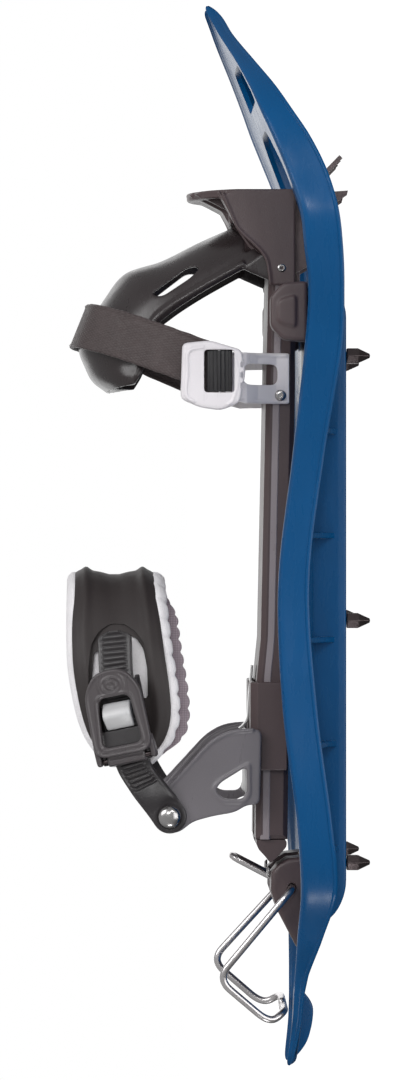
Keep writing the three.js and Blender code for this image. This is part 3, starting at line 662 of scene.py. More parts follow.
def deck_ring(y):
    """The whole section at one place, with the treads, and pinched round at the very ends."""
    half = np.array(deck_section(y))
    padded = np.vstack([2 * half[0] - half[1], half, 2 * half[-1] - half[-2]])
    fine = np.vstack([SECTION_WEIGHTS @ padded, half[-1]])
    x = fine[:TOP_POINTS, 0]
    if TREAD["rear"] < y < TREAD["front"]:
        inside = np.clip((x - TREAD["inner"]) / 2, 0, 1) * np.clip((TREAD["outer"] - x) / 2, 0, 1)
        ridge = smoothstep(math.cos(2 * math.pi * y / TREAD["pitch"]), -0.2, 0.7)
        fine[:TOP_POINTS, 1] += TREAD["rise"] * inside * ridge
    end = clamp((abs(y) - HALF_LENGTH + TIP_ROUND) / TIP_ROUND)
    pinch, middle = math.sqrt(1 - 0.92 * end * end), (crest_z(y) + wall_z(y)) / 2
    fine[:, 1] = middle + (fine[:, 1] - middle) * pinch
    right = [(x, y, z) for x, z in fine]
    return right + [(-x, y, z) for x, z in reversed(fine[1:-1])]


TAIL_FINE, TOE_FINE = 45, 40


def deck_skin():
    """The deck without its windows, rails and webs. Its rings stand closer together at both ends."""
    middle = np.linspace(TAIL_FINE - HALF_LENGTH, HALF_LENGTH - TOE_FINE, 200)
    tail = -HALF_LENGTH + TAIL_FINE * (1 - np.cos(np.linspace(0, math.pi / 2, 16)[:-1]))
    toe = HALF_LENGTH - TOE_FINE * (1 - np.cos(np.linspace(math.pi / 2, 0, 27)[1:]))
    return loft("deck_skin", [deck_ring(y) for y in (*tail, *middle, *toe)])


def deck_rail(side):
    """A rail under the deck that carries the spikes."""
    top = FLOOR_Z - SKIN / 2
    run = [(138, top), (132, 19), (121, RAIL_Z), (-188, RAIL_Z), (-200, 18), (-210, top)]
    return both_sides("rail", run, *RAIL_X, side, radius=6, edge=1.2)


def deck_web(side, y):
    """A web between a rail and the outer wall."""
    w, floor, crest = half_width(y), floor_z(y), crest_z(y)
    points = [
        (RAIL_Z + 3, RAIL_X[0] + 4), (floor - 1.5, RAIL_X[0] + 4), (floor - 1.5, 0.76 * w),
        (floor + 0.3 * (crest - floor) - 1.5, 0.86 * w), (crest - 6, w - 2), (wall_z(y) + 1, w - 2),
        (lerp(wall_z(y), RAIL_Z + 3, 0.55) + 2, lerp(w, RAIL_X[0], 0.55)),
    ]
    return slab("web", "y", [(z, side * x) for z, x in points], y - 1.5, y + 1.5, edge=0.6)


FIN = [(-242, 38), (-248, 31.5), (-254, 27.6), (-263, 28.2), (-273, 30.8), (-279, 34.8), (-284, 40)]
FIN_HALF = 3.5
# the right halves of two openings in the deck, as (x, y)
TOE_WINDOW = [(51, 108), (51, 196), (30, 217)]
FRONT_SLOT = [(44, 231), (30, 252)]


def deck():
    solids = [slab("fin", "x", FIN, -FIN_HALF, FIN_HALF, radius=4, edge=1)]
    for side in (-1, 1):
        solids.append(deck_rail(side))
        solids += [deck_web(side, y) for y in WEB_Y]
    whole = merged("deck_moulding", [deck_skin(), *solids])
    window = slab("window", "z", mirrored(TOE_WINDOW), 0, 90, radius=12)
    slot = slab("slot", "z", mirrored(FRONT_SLOT), 30, 100, radius=9)
    whole = carve(whole, [window, slot])
    cleaned(whole.data, 1e-5, orient=False)
    return shade(whole, 32)


def spike(side, y):
    """A hexagonal ground spike with a turned tip."""
    flat = [(0, 0), (1.3, 0.3), (3.9, 5.3), (4.6, 6.6), (4.6, 12.2), (4.2, 12.5), (2.4, 12.5), (2.4, 23.6)]
    obj = turned("spike", "z", flat, (side * (RAIL_X[0] + RAIL_X[1]) / 2, y, 0), sides=6)
    obj.data.polygons.foreach_set("use_smooth", [False] * len(obj.data.polygons))
    soften(obj, 0.35)
    return obj


AXLE_Y, AXLE_Z, AXLE_BORE = 118, 43.5, 3.5
HOUSING_X = (56, 71)


def pivot_housing(side):
    """A block that holds one end of the axle, with a raised facet outside and a flange on the deck."""
    y, z = AXLE_Y, AXLE_Z
    base = FLOOR_Z + 0.3
    arch = [(y + a, b) for a, b in mirrored([(16, base), (15, z + 3), (8, z + 9.7)])]
    body = both_sides("housing", arch, *HOUSING_X, side, radius=2.5, edge=1.6)
    front = [(y + a, b) for a, b in mirrored([(9, z - 4), (6, z + 6)])]
    facet = both_sides("facet", front, 69, 72.2, side, radius=3, edge=1.2)
    bore = turned("bore", "x", [(AXLE_BORE, 40), (AXLE_BORE, 67)], (0, y, z), rise=side)
    foot = rectangle(y - 15.6, base, y + 15.6, base + 3)
    flange = both_sides("flange", foot, 57, 70.4, side, radius=1, edge=0.8)
    return moulded("pivot_housing_" + side_word(side), [body, facet, flange], [bore], voxel=0.5)


def recessed_screw(name, axis, centre, radius, height, rise=1):
    """A round head with a hexagonal recess."""
    floor, key_radius = 0.45 * height, 0.42 * radius
    dome = [(0, 0), (radius - 0.1, 0), (radius, 0.3), (radius, floor)]
    dome += [(0.82 * radius, 0.86 * height), (0.6 * radius, height), (0, height)]
    head = turned(name, axis, dome, centre, sides=36, rise=rise)
    key = turned("key", axis, [(key_radius, floor), (key_radius, height + 1)], centre, sides=6, rise=rise)
    return shade(carve(head, [key]), 30)


BAIL_PIVOT_Y, BAIL_PIVOT_Z, BAIL_HALF, WIRE_R = -188, 40.5, 42, 2
BAIL_SKEW = 3  # the left leg stands a little further towards the toe
TAB_HALF_X, TAB_HALF_Y, TAB_HALF_Z = 9, 3.4, 1.4


def heel_lift_bail():
    """A wire loop with two bent legs, a flat tab on its cross bar, and a small thumb loop at its pivot."""
    y, z = BAIL_PIVOT_Y, BAIL_PIVOT_Z

    def leg(side, skew):
        return [
            (side * 7, y, z), (side * BAIL_HALF, y, z),
            (side * (BAIL_HALF - 1), y - 48 + skew, z + 40 + skew / 2),
            (side * (BAIL_HALF - 4), y - 72 + skew, z + 12 + skew / 2),
            (side * (BAIL_HALF - 8), y - 66 + skew, z + 3.8),
        ]

    loop = even(bent([*leg(1, 0), *reversed(leg(-1, BAIL_SKEW))], 9, 10), 260)
    prongs = [[(side * 8.2, y, z), (side * 8, y + 5, z + 12), (side * 7, y + 15, z + 31)] for side in (1, -1)]
    thumb = even(bent([*prongs[0], *reversed(prongs[1])], 5, 8), 80)
    across, up = y - 66 + BAIL_SKEW / 2, z + 3.8 + BAIL_SKEW / 4
    outline = rectangle(-TAB_HALF_X, across - TAB_HALF_Y, TAB_HALF_X, across + TAB_HALF_Y)
    tab = slab("tab", "z", outline, up - TAB_HALF_Z, up + TAB_HALF_Z, radius=2.5, edge=0.8)
    return joined("heel_lift_bail_wire", [wire("loop", loop, WIRE_R), wire("thumb", thumb, WIRE_R), tab])


# ---------------------------------------------------------------- toe binding
PLATE_HALF, PLATE_REAR = 38.5, -162
# y and z down the yoke's middle and down its side edge
YOKE_CROWN = [
    (166, 72), (158, 90), (148, 110), (141, 130), (128, 140.5), (112, 150), (100, 153.5), (87, 149),
    (77, 139),
]
YOKE_EDGE = [
    (147, 56), (143, 64), (129, 89), (119, 104), (112, 112), (104, 115), (97, 117.5), (88, 120), (81, 124),
]
YOKE_HALF, YOKE_T = 45, 4
YOKE_FOOT = (42.6, 46.6)
YOKE_STEPS = 60
CROWN_LINE, EDGE_LINE = (
    [spot_on(points, i / YOKE_STEPS) for i in range(YOKE_STEPS + 1)] for points in (YOKE_CROWN, YOKE_EDGE)
)


def yoke_point(u, v):
    """A place on the yoke's inner face: u across from left to right, v from its foot to its nose."""
    turn = (u - 0.5) * math.pi
    y, z = lerp(between(CROWN_LINE, v), between(EDGE_LINE, v), 1 - math.cos(turn))
    return np.array((YOKE_HALF * math.sin(turn), y, z))


def yoke_normal(u, v):
    step = 0.01
    du = yoke_point(u + step, v) - yoke_point(u - step, v)
    dv = yoke_point(u, min(v + step, 1)) - yoke_point(u, max(v - step, 0))
    normal = np.cross(dv, du)
    return normal / np.linalg.norm(normal)


def toe_yoke():
    """An arched moulding with a hem, a ridged nose, two feet, side openings and a slot in its crown."""

    def sheet(u, v, w):
        hem = 0.7 * math.exp(-(((abs(u - 0.5) - 0.465) / 0.02) ** 2))
        pad = 1.1 * smoothstep(v, 0.68, 0.74) * (0.6 + 0.4 * math.cos(34 * v))
        deep = -YOKE_T if w else hem + pad
        return yoke_point(u, v) + yoke_normal(u, v) * deep

    body = block("sheet", 64, 60, sheet)
    foot_side = [(151, 56), (150, 44), (136, 44), (135, 52), (142, 68)]
    feet = [both_sides("foot", foot_side, *YOKE_FOOT, side, radius=3, edge=0.9) for side in (-1, 1)]
    rim = []
    for side in (-1, 1):
        line = [yoke_point(0.5 + side * 0.47, v) for v in np.linspace(0.12, 0.62, 24)]
        rim.append(wire("rim", line, 2.0, 10))
    opening = [(128, 116), (143, 96), (143, 89), (137, 95), (127, 110)]
    crown_slot = [(164, 96), (157, 112), (148, 125), (146, 122), (153, 108), (160, 94)]
    inner = YOKE_FOOT[0]
    cutters = [
        slab("opening", "x", opening, -60, 60, radius=3, edge=0.1),
        slab("crown_slot", "x", crown_slot, -12, 12, radius=2, edge=0.1),
        slab("room", "x", rectangle(120, 38, 190, 66), 0.3 - inner, inner - 0.3, edge=0.1),
    ]
    return moulded("toe_yoke_moulding", [body, *feet, *rim], cutters, voxel=0.75, rounds=3, keep=0.45)


BUMPER_HALF, BUMPER_LOW, BUMPER_FRONT = 42, 39, 184
BUMPER_BROW = [(72, 42), (86, 30), (95, 12), (96.5, 0), (95, -12), (86, -30), (72, -42)]
CHEEK_SLOPE = [(180, 79), (162, 68.5), (153, 62.5), (148, 55), (146, 53)]
COVER_SLOPE = [(180, 79), (163, 70), (151.5, 57.5), (146, 54), (132.6, 53)]


def edge_wire(name, x, points, radius):
    """A bead along bent (y, z) points at one place on the x axis."""
    line = [(x, y, z) for y, z in bent(points, 4)]
    return wire(name, even(line, 60), radius, 10)


def bumper_cheek(side):
    """A cheek beside the plate, and a cover outside it that hides the yoke's foot."""
    front = [(BUMPER_FRONT, BUMPER_LOW), (BUMPER_FRONT, 72)]
    cheek = [*front, *CHEEK_SLOPE, (146, BUMPER_LOW)]
    cover = [*front, *COVER_SLOPE, (132.6, BUMPER_LOW)]
    join = [*cover[:4], (157, 60), (155, BUMPER_LOW)]
    return [
        both_sides("cheek", cheek, PLATE_HALF + 0.3, BUMPER_HALF, side, radius=2, edge=0.8),
        edge_wire("bead", side * 41.6, [(183, 80), *CHEEK_SLOPE[1:], (147.2, 46)], 1.1),
        both_sides("cover", cover, 46.9, 48.6, side, radius=2, edge=0.7),
        both_sides("join", join, 41, 48, side, radius=2, edge=0.7),
        edge_wire("fold", side * 48.4, [(182, 78), *COVER_SLOPE[1:4], (133.4, 52.4)], 0.9),
    ]


def toe_bumper():
    """A wall across the toe with two cheeks, a faceted lip in the middle, and a bead round its edge."""
    outline = [(BUMPER_LOW, -BUMPER_HALF), (BUMPER_LOW, BUMPER_HALF), *BUMPER_BROW]
    wall = slab("wall", "y", outline, 180, 184.5, radius=6, edge=1.2)
    parts = [wall, *bumper_cheek(-1), *bumper_cheek(1)]
    brow = [(x, 183.4, z - 0.6) for z, x in rounded(BUMPER_BROW, 6)[4:-4]]
    parts.append(wire("brow", even(brow, 80), 1.0, 10))
    for low, high, drop in ((-16, 16, 0), (-24, -15, 3), (15, 24, 3)):
        lip = [(183, 96 - drop), (178, 85 - drop), (174, 77.5 - drop), (167, 73.5), (167, 71), (183, 71)]
        parts.append(slab("lip", "x", lip, low, high, radius=1, edge=0.7))
    return moulded("toe_bumper_moulding", parts, voxel=0.6, rounds=2, keep=0.45)


WEB_LINE = [
    (-58.4, 83.5, 66), (-58.3, 86, 76), (-57.4, 91, 92), (-54, 97.5, 108), (-49.5, 102.5, 120),
    (-42, 108, 136), (-30, 111.5, 148.5), (-14, 112.5, 153.2), (14, 112.5, 153.2), (30, 111.5, 148.5),
    (43, 107.5, 134.5), (51, 101, 116), (55.5, 95.5, 101), (57.5, 90, 86), (58, 87, 76),
]
WEB_ACROSS = (0, 1, -0.4)  # its width follows the crown's slope
WEBBING_WIDTH, WEBBING_T = 25, 1.8
YARN = {"across": 0.74, "along": 1.6, "rise": 0.24}


def toe_webbing():
    """Webbing whose yarns pass over and under each other in the mesh."""
    rows = int(length_of(route(WEB_LINE, 60)) / YARN["along"]) * 4
    warps = int(WEBBING_WIDTH / YARN["across"])
    columns = warps * 3
    line = route(WEB_LINE, rows)
    spots = list(zip(line, frames_along(line, lambda u: WEB_ACROSS)))

    def place(u, v, w):
        spot, (_, side, normal) = spots[round(u * rows)]
        along = u * rows / 4
        across = v * columns / 3
        weave = math.cos(math.pi * along) * math.cos(math.pi * (across - 0.5))
        dip = 0.5 - 0.5 * math.cos(2 * math.pi * across)
        hem = min(v, 1 - v) * WEBBING_WIDTH
        edge = 0.45 * math.exp(-((hem - 1.1) ** 2) / 0.6) - 0.35 * math.exp(-(hem**2) / 0.4)
        out = WEBBING_T / 2 + YARN["rise"] * (0.55 * weave + 0.5 * dip - 0.4) + edge
        wave = 0.12 * math.sin(along * 0.9) * math.sin(3 * v + along * 0.13)
        return spot + side * ((v - 0.5) * WEBBING_WIDTH + wave) + normal * (out if w else -out)

    obj = block("toe_webbing_weave", rows, columns, place)
    layer = obj.data.uv_layers.new(name="yarns")
    ring = 2 * (columns + 1)
    for loop in obj.data.loops:
        i, j = divmod(loop.vertex_index, ring)
        layer.data[loop.index].uv = (min(j, ring - 1 - j) / 3, i / 4)
    obj.data.shade_smooth()
    return obj


def toe_link(side):
    """A white strip that hooks round the plate's side, with a raised rim along its edges."""
    inner = [(43, 39.2), (50, 39.2), (60, 43.5), (66, 51), (74, 54)]
    outer = [(z - 0.8, x + 2.8) for z, x in reversed(inner)]
    parts = [slab("strip", "y", [(z, side * x) for z, x in (*inner, *outer)], 70, 97, edge=0.8)]
    for y in (71.4, 95.6):
        line = [(side * (x + 2.6), y, z) for z, x in bent([(43.6, 39.2), *inner[1:-1], (72, 54)], 5)]
        parts.append(wire("rim", even(line, 40), 0.9, 8))
    slot = slab("slot", "x", rectangle(80, 48.5, 91, 67), -80, 80, radius=4, edge=0.1)
    notch = slab("notch", "x", [(70, 66), (74, 80), (66, 80), (66, 66)], -80, 80, edge=0.1)
    return moulded("toe_link_strip_" + side_word(side), parts, [slot, notch], voxel=0.45, rounds=2, keep=0.5)


def toe_buckle_frame():
    """A round-cornered white frame, with a raised curved bead along its upper edge."""
    shape = [(101.5, 99.5), (103, 85), (98, 68), (86, 66), (70, 69), (66, 79), (67.5, 90), (72, 100.5)]
    body = slab("frame", "x", shape, 56.6, 64.6, radius=3, edge=1.8)
    bead = [(64.2, 70.5, 93), (64.4, 73.5, 97.2), (64.4, 86, 96.9), (64.4, 97, 96.2), (64.2, 99.6, 88)]
    ribs = [wire("bead", route(bead, 40), 1.1, 10)]
    lower = [(64.2, 69, 76), (64.3, 71, 73), (64.3, 84, 70), (64.2, 96, 72)]
    ribs.append(wire("bead", route(lower, 30), 0.8, 8))
    cutters = [
        slab("window", "x", rectangle(75.5, 72, 98, 88), 50, 70, radius=2, edge=0.1),
        slab("passage", "x", rectangle(71.5, 60, 103, 96), 54, 60.4, edge=0.1),
        slab("mouth", "y", [(94, 54), (94, 60), (104, 58.5), (104, 52)], 71.5, 103.5, edge=0.1),
        slab("step", "x", rectangle(60, 60, 110, 76), 50, 58.9, edge=0.1),
    ]
    for y in (77.5, 83, 88.5):
        cutters.append(slab("slit", "x", rectangle(y, 67.2, y + 3.2, 68.6), 60, 70, radius=0.6, edge=0.1))
    return moulded("toe_buckle_moulding", [body, *ribs], cutters, voxel=0.4, rounds=2, keep=0.45)


CAM_Z = 80


def toe_buckle_cam():
    back = 60.9
    ribs = []
    for k in range(1, 96):
        turn = (k / 96 - 0.5) * math.pi
        tooth = 0.5 + 0.5 * math.cos(2 * math.pi * k / 12)
        radius = 4.5 + 0.9 * tooth**0.6
        ribs.append((CAM_Z + radius * math.sin(turn) * 1.25, back + 0.3 + radius * math.cos(turn) * 0.85))
    shape = [(CAM_Z - 6.4, back), *ribs, (CAM_Z + 6.4, back)]
    return slab("toe_buckle_cam_block", "y", shape, 76, 97.5, edge=0.35)


def plate_highlight_strip(side):
    """A strip along the upper edge of the plate's side, in a lighter copy of the plate's brown: a painted
    highlight for the light falling on the plate's chamfer.
    """
    tops = [(145, 53), (72, 54.6), (-55, 57.2), (-77, 59.4), (PLATE_REAR, 60)]
    section = [(-1.5, -8), (0.2, -7.4), (0.35, -6.9), (-0.1, -2.8), (-0.6, -2.3), (-2, -2.6)]
    line = even(bent(tops, 6), 70)
    rings = [[(side * (PLATE_HALF + a), y, z + b) for a, b in section] for y, z in line]
    return soften(shade(loft(f"plate_highlight_strip_{side_word(side)}", rings), 20), 0.3)


# ---------------------------------------------------------------- heel unit
HEEL_X, HEEL_Y, HEEL_Z = 48.5, -149, 106
RIVET_HOLE = 3.2
ARM_X = (43.3, 48.3)


def heel_cup():
    """Two arms with windows, joined by a floor below and by a band behind the heel."""
    profile = [
        (-103, 57), (-103, 64), (-105.5, 75), (-111, 85), (-121, 94), (-134, 106), (-141, 113), (-150, 115),
        (-158, 110), (-158, 101), (-152, 94), (-149, 83), (-147, 71), (-143, 65), (-143, 58),
    ]
    window = [(-122.5, 65), (-131.5, 79.5), (-136, 82), (-140, 77), (-140, 67), (-136, 65)]
    outer_rim = [(-120, 63), (-131, 82), (-136, 84.5), (-142.4, 78), (-142.4, 66), (-138, 62.8)]
    parts, cutters = [], []
    for side in (-1, 1):
        parts.append(both_sides("arm", profile, *ARM_X, side, radius=4, edge=1.1))
        parts.append(both_sides("frame", outer_rim, 47, 49.1, side, radius=3, holes=[window], edge=0.5))
        edge = [(side * 48, y + 1.2, z - 0.6) for y, z in bent([(-104.5, 62), *profile[2:7]], 6)]
        parts.append(wire("bead", even(edge, 40), 1.25, 10))
        pivot = (0, HEEL_Y, HEEL_Z)
        parts.append(turned("boss", "x", [(6.6, 44), (6.6, 49), (6.2, 49.4), (4, 49.4)], pivot, rise=side))
        cutters.append(turned("bore", "x", [(RIVET_HOLE, 30), (RIVET_HOLE, 60)], pivot, rise=side))
    outer = [(-46, -142), (-30, -148), (0, -151), (30, -148), (46, -142)]
    inner = [(46, -136), (30, -143), (0, -146), (-30, -143), (-46, -136)]
    parts.append(slab("band", "z", [*outer, *inner], 84, 96, radius=3, edge=1.4))
    parts.append(slab("floor", "z", rectangle(-46, -140, 46, -105), 63.1, 65.6, radius=3, edge=0.8))
    cutters.append(slab("window", "x", window, -60, 60, radius=3, edge=0.1))
    return moulded("heel_cup_moulding", parts, cutters, voxel=0.65, rounds=2, keep=0.45)


def heel_rivet(side):
    """A rivet with a domed head outside the strap and a flat head inside the arm."""
    shank = [(0, -7.2), (4.6, -7.2), (5, -6.9), (5, -5.6), (2.9, -5.4)]
    dome = [(2.9, 4.9), (5.9, 4.9), (6.1, 5.2), (6.0, 5.6), (5.5, 6.5), (4.6, 7.3), (3.2, 7.9)]
    profile, centre = [*shank, *dome, (1.6, 8.2), (0, 8.25)], (side * HEEL_X, HEEL_Y, HEEL_Z)
    return turned("heel_rivet_dome_" + side_word(side), "x", profile, centre, 48, side)


LATCH_HALF = 7.5


def length_latch():
    """A spring steel strip whose tip curls up as a finger grip."""
    line = [(0, -70, 61), (0, -90, 62.6), (0, -99, 63.4), (0, -102.6, 65.6), (0, -104.4, 67.8)]
    spots = route(line, 50)

    def section(u):
        wide = LATCH_HALF * (1 - 0.25 * smoothstep(u, 0.86, 1))
        return rounded([(-wide, -0.65), (wide, -0.65), (wide, 0.65), (-wide, 0.65)], 0.3, 3)

    return shade(sweep("length_latch_strip", spots, lambda u: (1, 0, 0), section), 50)


# ---------------------------------------------------------------- ankle strap
BAND_TOP = through([(-124, 137), (-114, 147), (-103, 153.5), (-87, 158), (-66, 161), (-18, 161)])
BAND_BOTTOM = through([(-124, 117), (-108, 103.5), (-92, 100), (-55, 104.8), (-18, 109)])
BAND_REAR, BAND_NOSE, BAND_STEPS = -123, -29.5, 400
BAND_HALF = [(44, BAND_REAR), (43.5, -95), (38, -62), (22, -37)]
BAND_LINE = route([*BAND_HALF, (0, BAND_NOSE), *((-x, y) for x, y in reversed(BAND_HALF))], BAND_STEPS)
BAND_SIDE = np.gradient(BAND_LINE, axis=0)
STRAP_LEAN, STRAP_MID_Z = 0.22, 134
LINER_T, SHELL_T = 7.5, 3.2


def band_spot(t, depth, v, top_inset=0.0, bottom_inset=0.0):
    """A place on the ankle band: t along it, v up it, and depth outward from its inner face."""
    spot, ahead = between(BAND_LINE, t), between(BAND_SIDE, t)
    ahead = ahead / np.linalg.norm(ahead)
    low = BAND_BOTTOM(spot[1]) + bottom_inset
    z = lerp(low, BAND_TOP(spot[1]) - top_inset, v)
    x, y = spot + np.array((ahead[1], -ahead[0])) * depth
    return np.array((x + STRAP_LEAN * (STRAP_MID_Z - z) * x / 50, y, z))


def swell(v, centre, width):
    return math.exp(-(((v - centre) / width) ** 2))


def foam_liner():
    """A foam band whose long edges swell beyond the shell, with small notches along its lower edge."""

    def place(u, v, w):
        y = lerp(BAND_REAR, BAND_NOSE, math.sin(math.pi * u))
        notch = 1.7 * max(0.0, math.cos(u * 150)) ** 4 * smoothstep(0.2 - v, 0, 0.1)
        if w:
            return band_spot(u, 0.2, v, 0.8, 0.8 + notch)
        bulge = 2.3 * (swell(v, 0.1, 0.075) + swell(v, 0.93, 0.06)) - 0.4 * swell(v, 0.5, 0.25)
        nose = smoothstep(y, -60, -32)
        hems = 1.2 * swell(v, 0, 0.03) + 1.2 * swell(v, 1, 0.03)
        return band_spot(u, LINER_T - 0.2 + bulge * (0.55 + 0.65 * nose) - hems, v, 0, notch)

    obj = block("ankle_liner_foam", 150, 44, place)
    return subdivided(obj)


QUILT = {"rows": 5, "columns": 30, "cell": 6, "out": 1.2, "proud": 6.0}
CLOTH = {
    "quality": 6, "mass": 0.3, "tension_stiffness": 8, "compression_stiffness": 8, "shear_stiffness": 4,
    "bending_stiffness": 0.05, "vertex_group_mass": "pins", "use_pressure": True, "uniform_pressure_force": 4,
}
CLOTH_STEPS, SWELL_CAP = 20, 1.6


def quilted_lining():
    """Padded cloth inside the foam, sewn down along channels and inflated by a cloth simulation."""
    nu, nv = QUILT["columns"] * QUILT["cell"], QUILT["rows"] * QUILT["cell"]

    def place(u, v, w):
        seam = (v * QUILT["rows"]) % 1
        seam_u = (u * QUILT["columns"]) % 1
        puff = (math.sin(math.pi * seam) * math.sin(math.pi * seam_u)) ** 0.5
        depth = -0.25 - QUILT["out"] * puff - 0.35 - 1.2 if w else -0.1
        scallop = 0.72 + 0.28 * abs(math.sin(math.pi * u * QUILT["columns"])) ** 0.5
        t = lerp(0.004, 0.996, u)
        y = BAND_LINE[round(t * BAND_STEPS)][1]
        proud = QUILT["proud"] * scallop * (1 - 0.75 * smoothstep(y, -44, -30)) * smoothstep(y, -122, -104)
        return band_spot(t, depth, v, 1.5, 1 - proud)

    obj = block("ankle_lining_quilt", nu, nv, place)
    inflate(obj, nv)
    return subdivided(obj)


def inflate(obj, nv):
    """Swell a quilted block by cloth pressure. Its back and its seams are held by pins."""
    ring = 2 * (nv + 1)
    held = []
    for index in range(len(obj.data.vertices)):
        i, j = divmod(index, ring)
        if j > nv or i % QUILT["cell"] == 0 or j % QUILT["cell"] == 0:
            held.append(index)
    pins = obj.vertex_groups.new(name="pins")
    pins.add(held, 1.0, "REPLACE")
    cloth = obj.modifiers.new("cloth", "CLOTH")
    for key, value in CLOTH.items():
        setattr(cloth.settings, key, value)
    cloth.settings.effector_weights.gravity = 0
    cloth.collision_settings.use_collision = False
    cloth.point_cache.frame_start, cloth.point_cache.frame_end = 1, CLOTH_STEPS
    rest = np.array([v.co[:] for v in obj.data.vertices])
    for step in range(1, CLOTH_STEPS + 1):
        bpy.context.scene.frame_set(step)
    settle(obj)
    moved = np.array([v.co[:] for v in obj.data.vertices]) - rest
    reach = np.linalg.norm(moved, axis=1, keepdims=True)
    capped = rest + moved * np.minimum(1, SWELL_CAP * MM / np.maximum(reach, 1e-9))
    obj.data.vertices.foreach_set("co", capped.ravel())
    bpy.context.scene.frame_set(1)


def shell_insets(y):
    nose = smoothstep(y, -56, -34)
    return lerp(3.4, 4.6, nose), lerp(5.5, 6.5, nose)


def ankle_shell():
    """A moulded shell with a rounded ridge near each long edge, and an arched window in its right side,
    backed by a thin skin with slits.
    """

    def place(u, v, w):
        t = lerp(0.016, 0.984, u)
        y = BAND_LINE[round(t * BAND_STEPS)][1]
        top, bottom = shell_insets(y)
        if w:
            return band_spot(t, LINER_T + 0.1, v, top, bottom)
        ridge = 1.3 * (swell(v, 0.14, 0.06) + swell(v, 0.86, 0.06))
        nose = smoothstep(y, -58, -34)
        dip = -1.1 * swell(v, 0.5, 0.22) * (1 - nose) - 2.2 * nose * swell(v, 0.5, 0.16)
        hem = -1.0 * (swell(v, 0, 0.03) + swell(v, 1, 0.03))
        deep = LINER_T + SHELL_T - 0.1 + ridge * (1 + 0.7 * nose) + dip + hem
        return band_spot(t, deep, v, top, bottom)

    band = block("ankle_shell_moulding", 170, 52, place)
    arch = [
        (-86, 116.5), (-70, 117), (-58, 119), (-51, 124), (-47, 130), (-47, 138), (-51, 143.6), (-58, 147.6),
        (-70, 149), (-86, 149),
    ]
    slits = [(-86, 117.5), (-70, 118), (-60, 120), (-54, 124), (-51, 134), (-60, 136), (-62, 146), (-86, 148)]
    skin = block("skin", 90, 12, lambda u, v, w: band_spot(
        lerp(0.02, 0.5, u), LINER_T + (1.2 if w else 0.2), lerp(0.1, 0.9, v), *shell_insets(-60)))
    skin = carve(skin, [slab("slits", "x", slits, 20, 90, radius=2, edge=0.1)])
    outer = carve(band, [slab("window", "x", arch, 20, 90, radius=2, edge=0.1)])
    return shade(joined("ankle_shell_moulding", [outer, skin]), 35)


LADDER_PATH = [
    (50.2, -149, 106), (50.8, -142.5, 110.5), (55.4, -132, 118.6), (61.4, -121, 125.2), (62.5, -110, 128),
    (62.4, -97, 130.6), (60.6, -84, 133), (54.6, -70, 134.6), (50.6, -58, 135), (49, -51, 135.4),
]
PLAIN_PATH = [
    (-50.2, -149, 106), (-50.8, -142.5, 110.5), (-55.4, -132, 117.4), (-60, -121, 123),
    (-60.6, -110, 127), (-59.4, -98, 130),
]
LADDER_WIDTH, LADDER_T, RIB_PITCH, RIB_HEIGHT = 18, 2.6, 2.9, 0.85
RATCHET_X, RATCHET_Y, RATCHET_Z, RATCHET_CLIMB, RATCHET_LEAN = 57.4, -97, 130.6, 0.2, 0.24
RATCHET_PLACE = (
    Matrix.Translation((RATCHET_X * MM, RATCHET_Y * MM, RATCHET_Z * MM))
    @ Matrix.Rotation(-RATCHET_LEAN, 4, "Y")
    @ Matrix.Rotation(RATCHET_CLIMB, 4, "X")
)


def moulded_strap(name, path, side, lean, ribs_from):
    """A strap with a round end at the rivet, edge beads, and ratchet ribs from one place on."""
    ribbed = ribs_from < 1
    line = route(path, 420 if ribbed else 120)  # finer where there are ribs
    last = len(line) - 1
    length = length_of(line)

    def across(u):
        return (-side * RATCHET_LEAN * smoothstep(u, 0.05, lean), -0.2, 1)

    spots = list(zip(line, frames_along(line, across)))

    def relief(u, v):
        saw = (u * length / RIB_PITCH) % 1
        rib = smoothstep(saw, 0, 0.6) * (1 - smoothstep(saw, 0.82, 1))
        rib *= smoothstep(u, ribs_from - 0.01, ribs_from + 0.01) * (1 - smoothstep(abs(v - 0.5), 0.33, 0.38))
        return RIB_HEIGHT * rib + 0.35 * swell(abs(v - 0.5), 0.45, 0.035) - 0.25

    def place(u, v, w):
        spot, (_, wide, normal) = spots[round(u * last)]
        outward = normal if normal[0] * side > 0 else -normal
        tip = math.sqrt(max(0.0, 1 - clamp((u - 0.965) / 0.035) ** 2)) if ribbed else 1
        aside = (v - 0.5) * LADDER_WIDTH * max(tip, 0.45)
        if w:
            return spot + wide * aside - outward * LADDER_T / 2
        return spot + wide * aside + outward * (LADDER_T / 2 + relief(u, v))

    body = block("strap", last, 22, place)
    centre = (side * 50.2, HEEL_Y, HEEL_Z)
    disc = [(0, -1.4), (8.6, -1.4), (9, -1.1), (9, 0.9), (8.6, 1.2), (7.4, 1.5), (6.6, 1.2), (0, 1.2)]
    end = turned("end", "x", disc, centre, rise=side)
    bore = turned("bore", "x", [(RIVET_HOLE, -8), (RIVET_HOLE, 8)], centre, rise=side)
    return shade(carve(merged(name, [body, end]), [bore]), 38)


LEVER_PIN = (7.4, -20.5)


def in_place(obj, name):
    """A piece of the ratchet, drawn round the ratchet's own centre, at its place on the strap."""
    obj.name = name
    obj.data.transform(RATCHET_PLACE)
    return obj


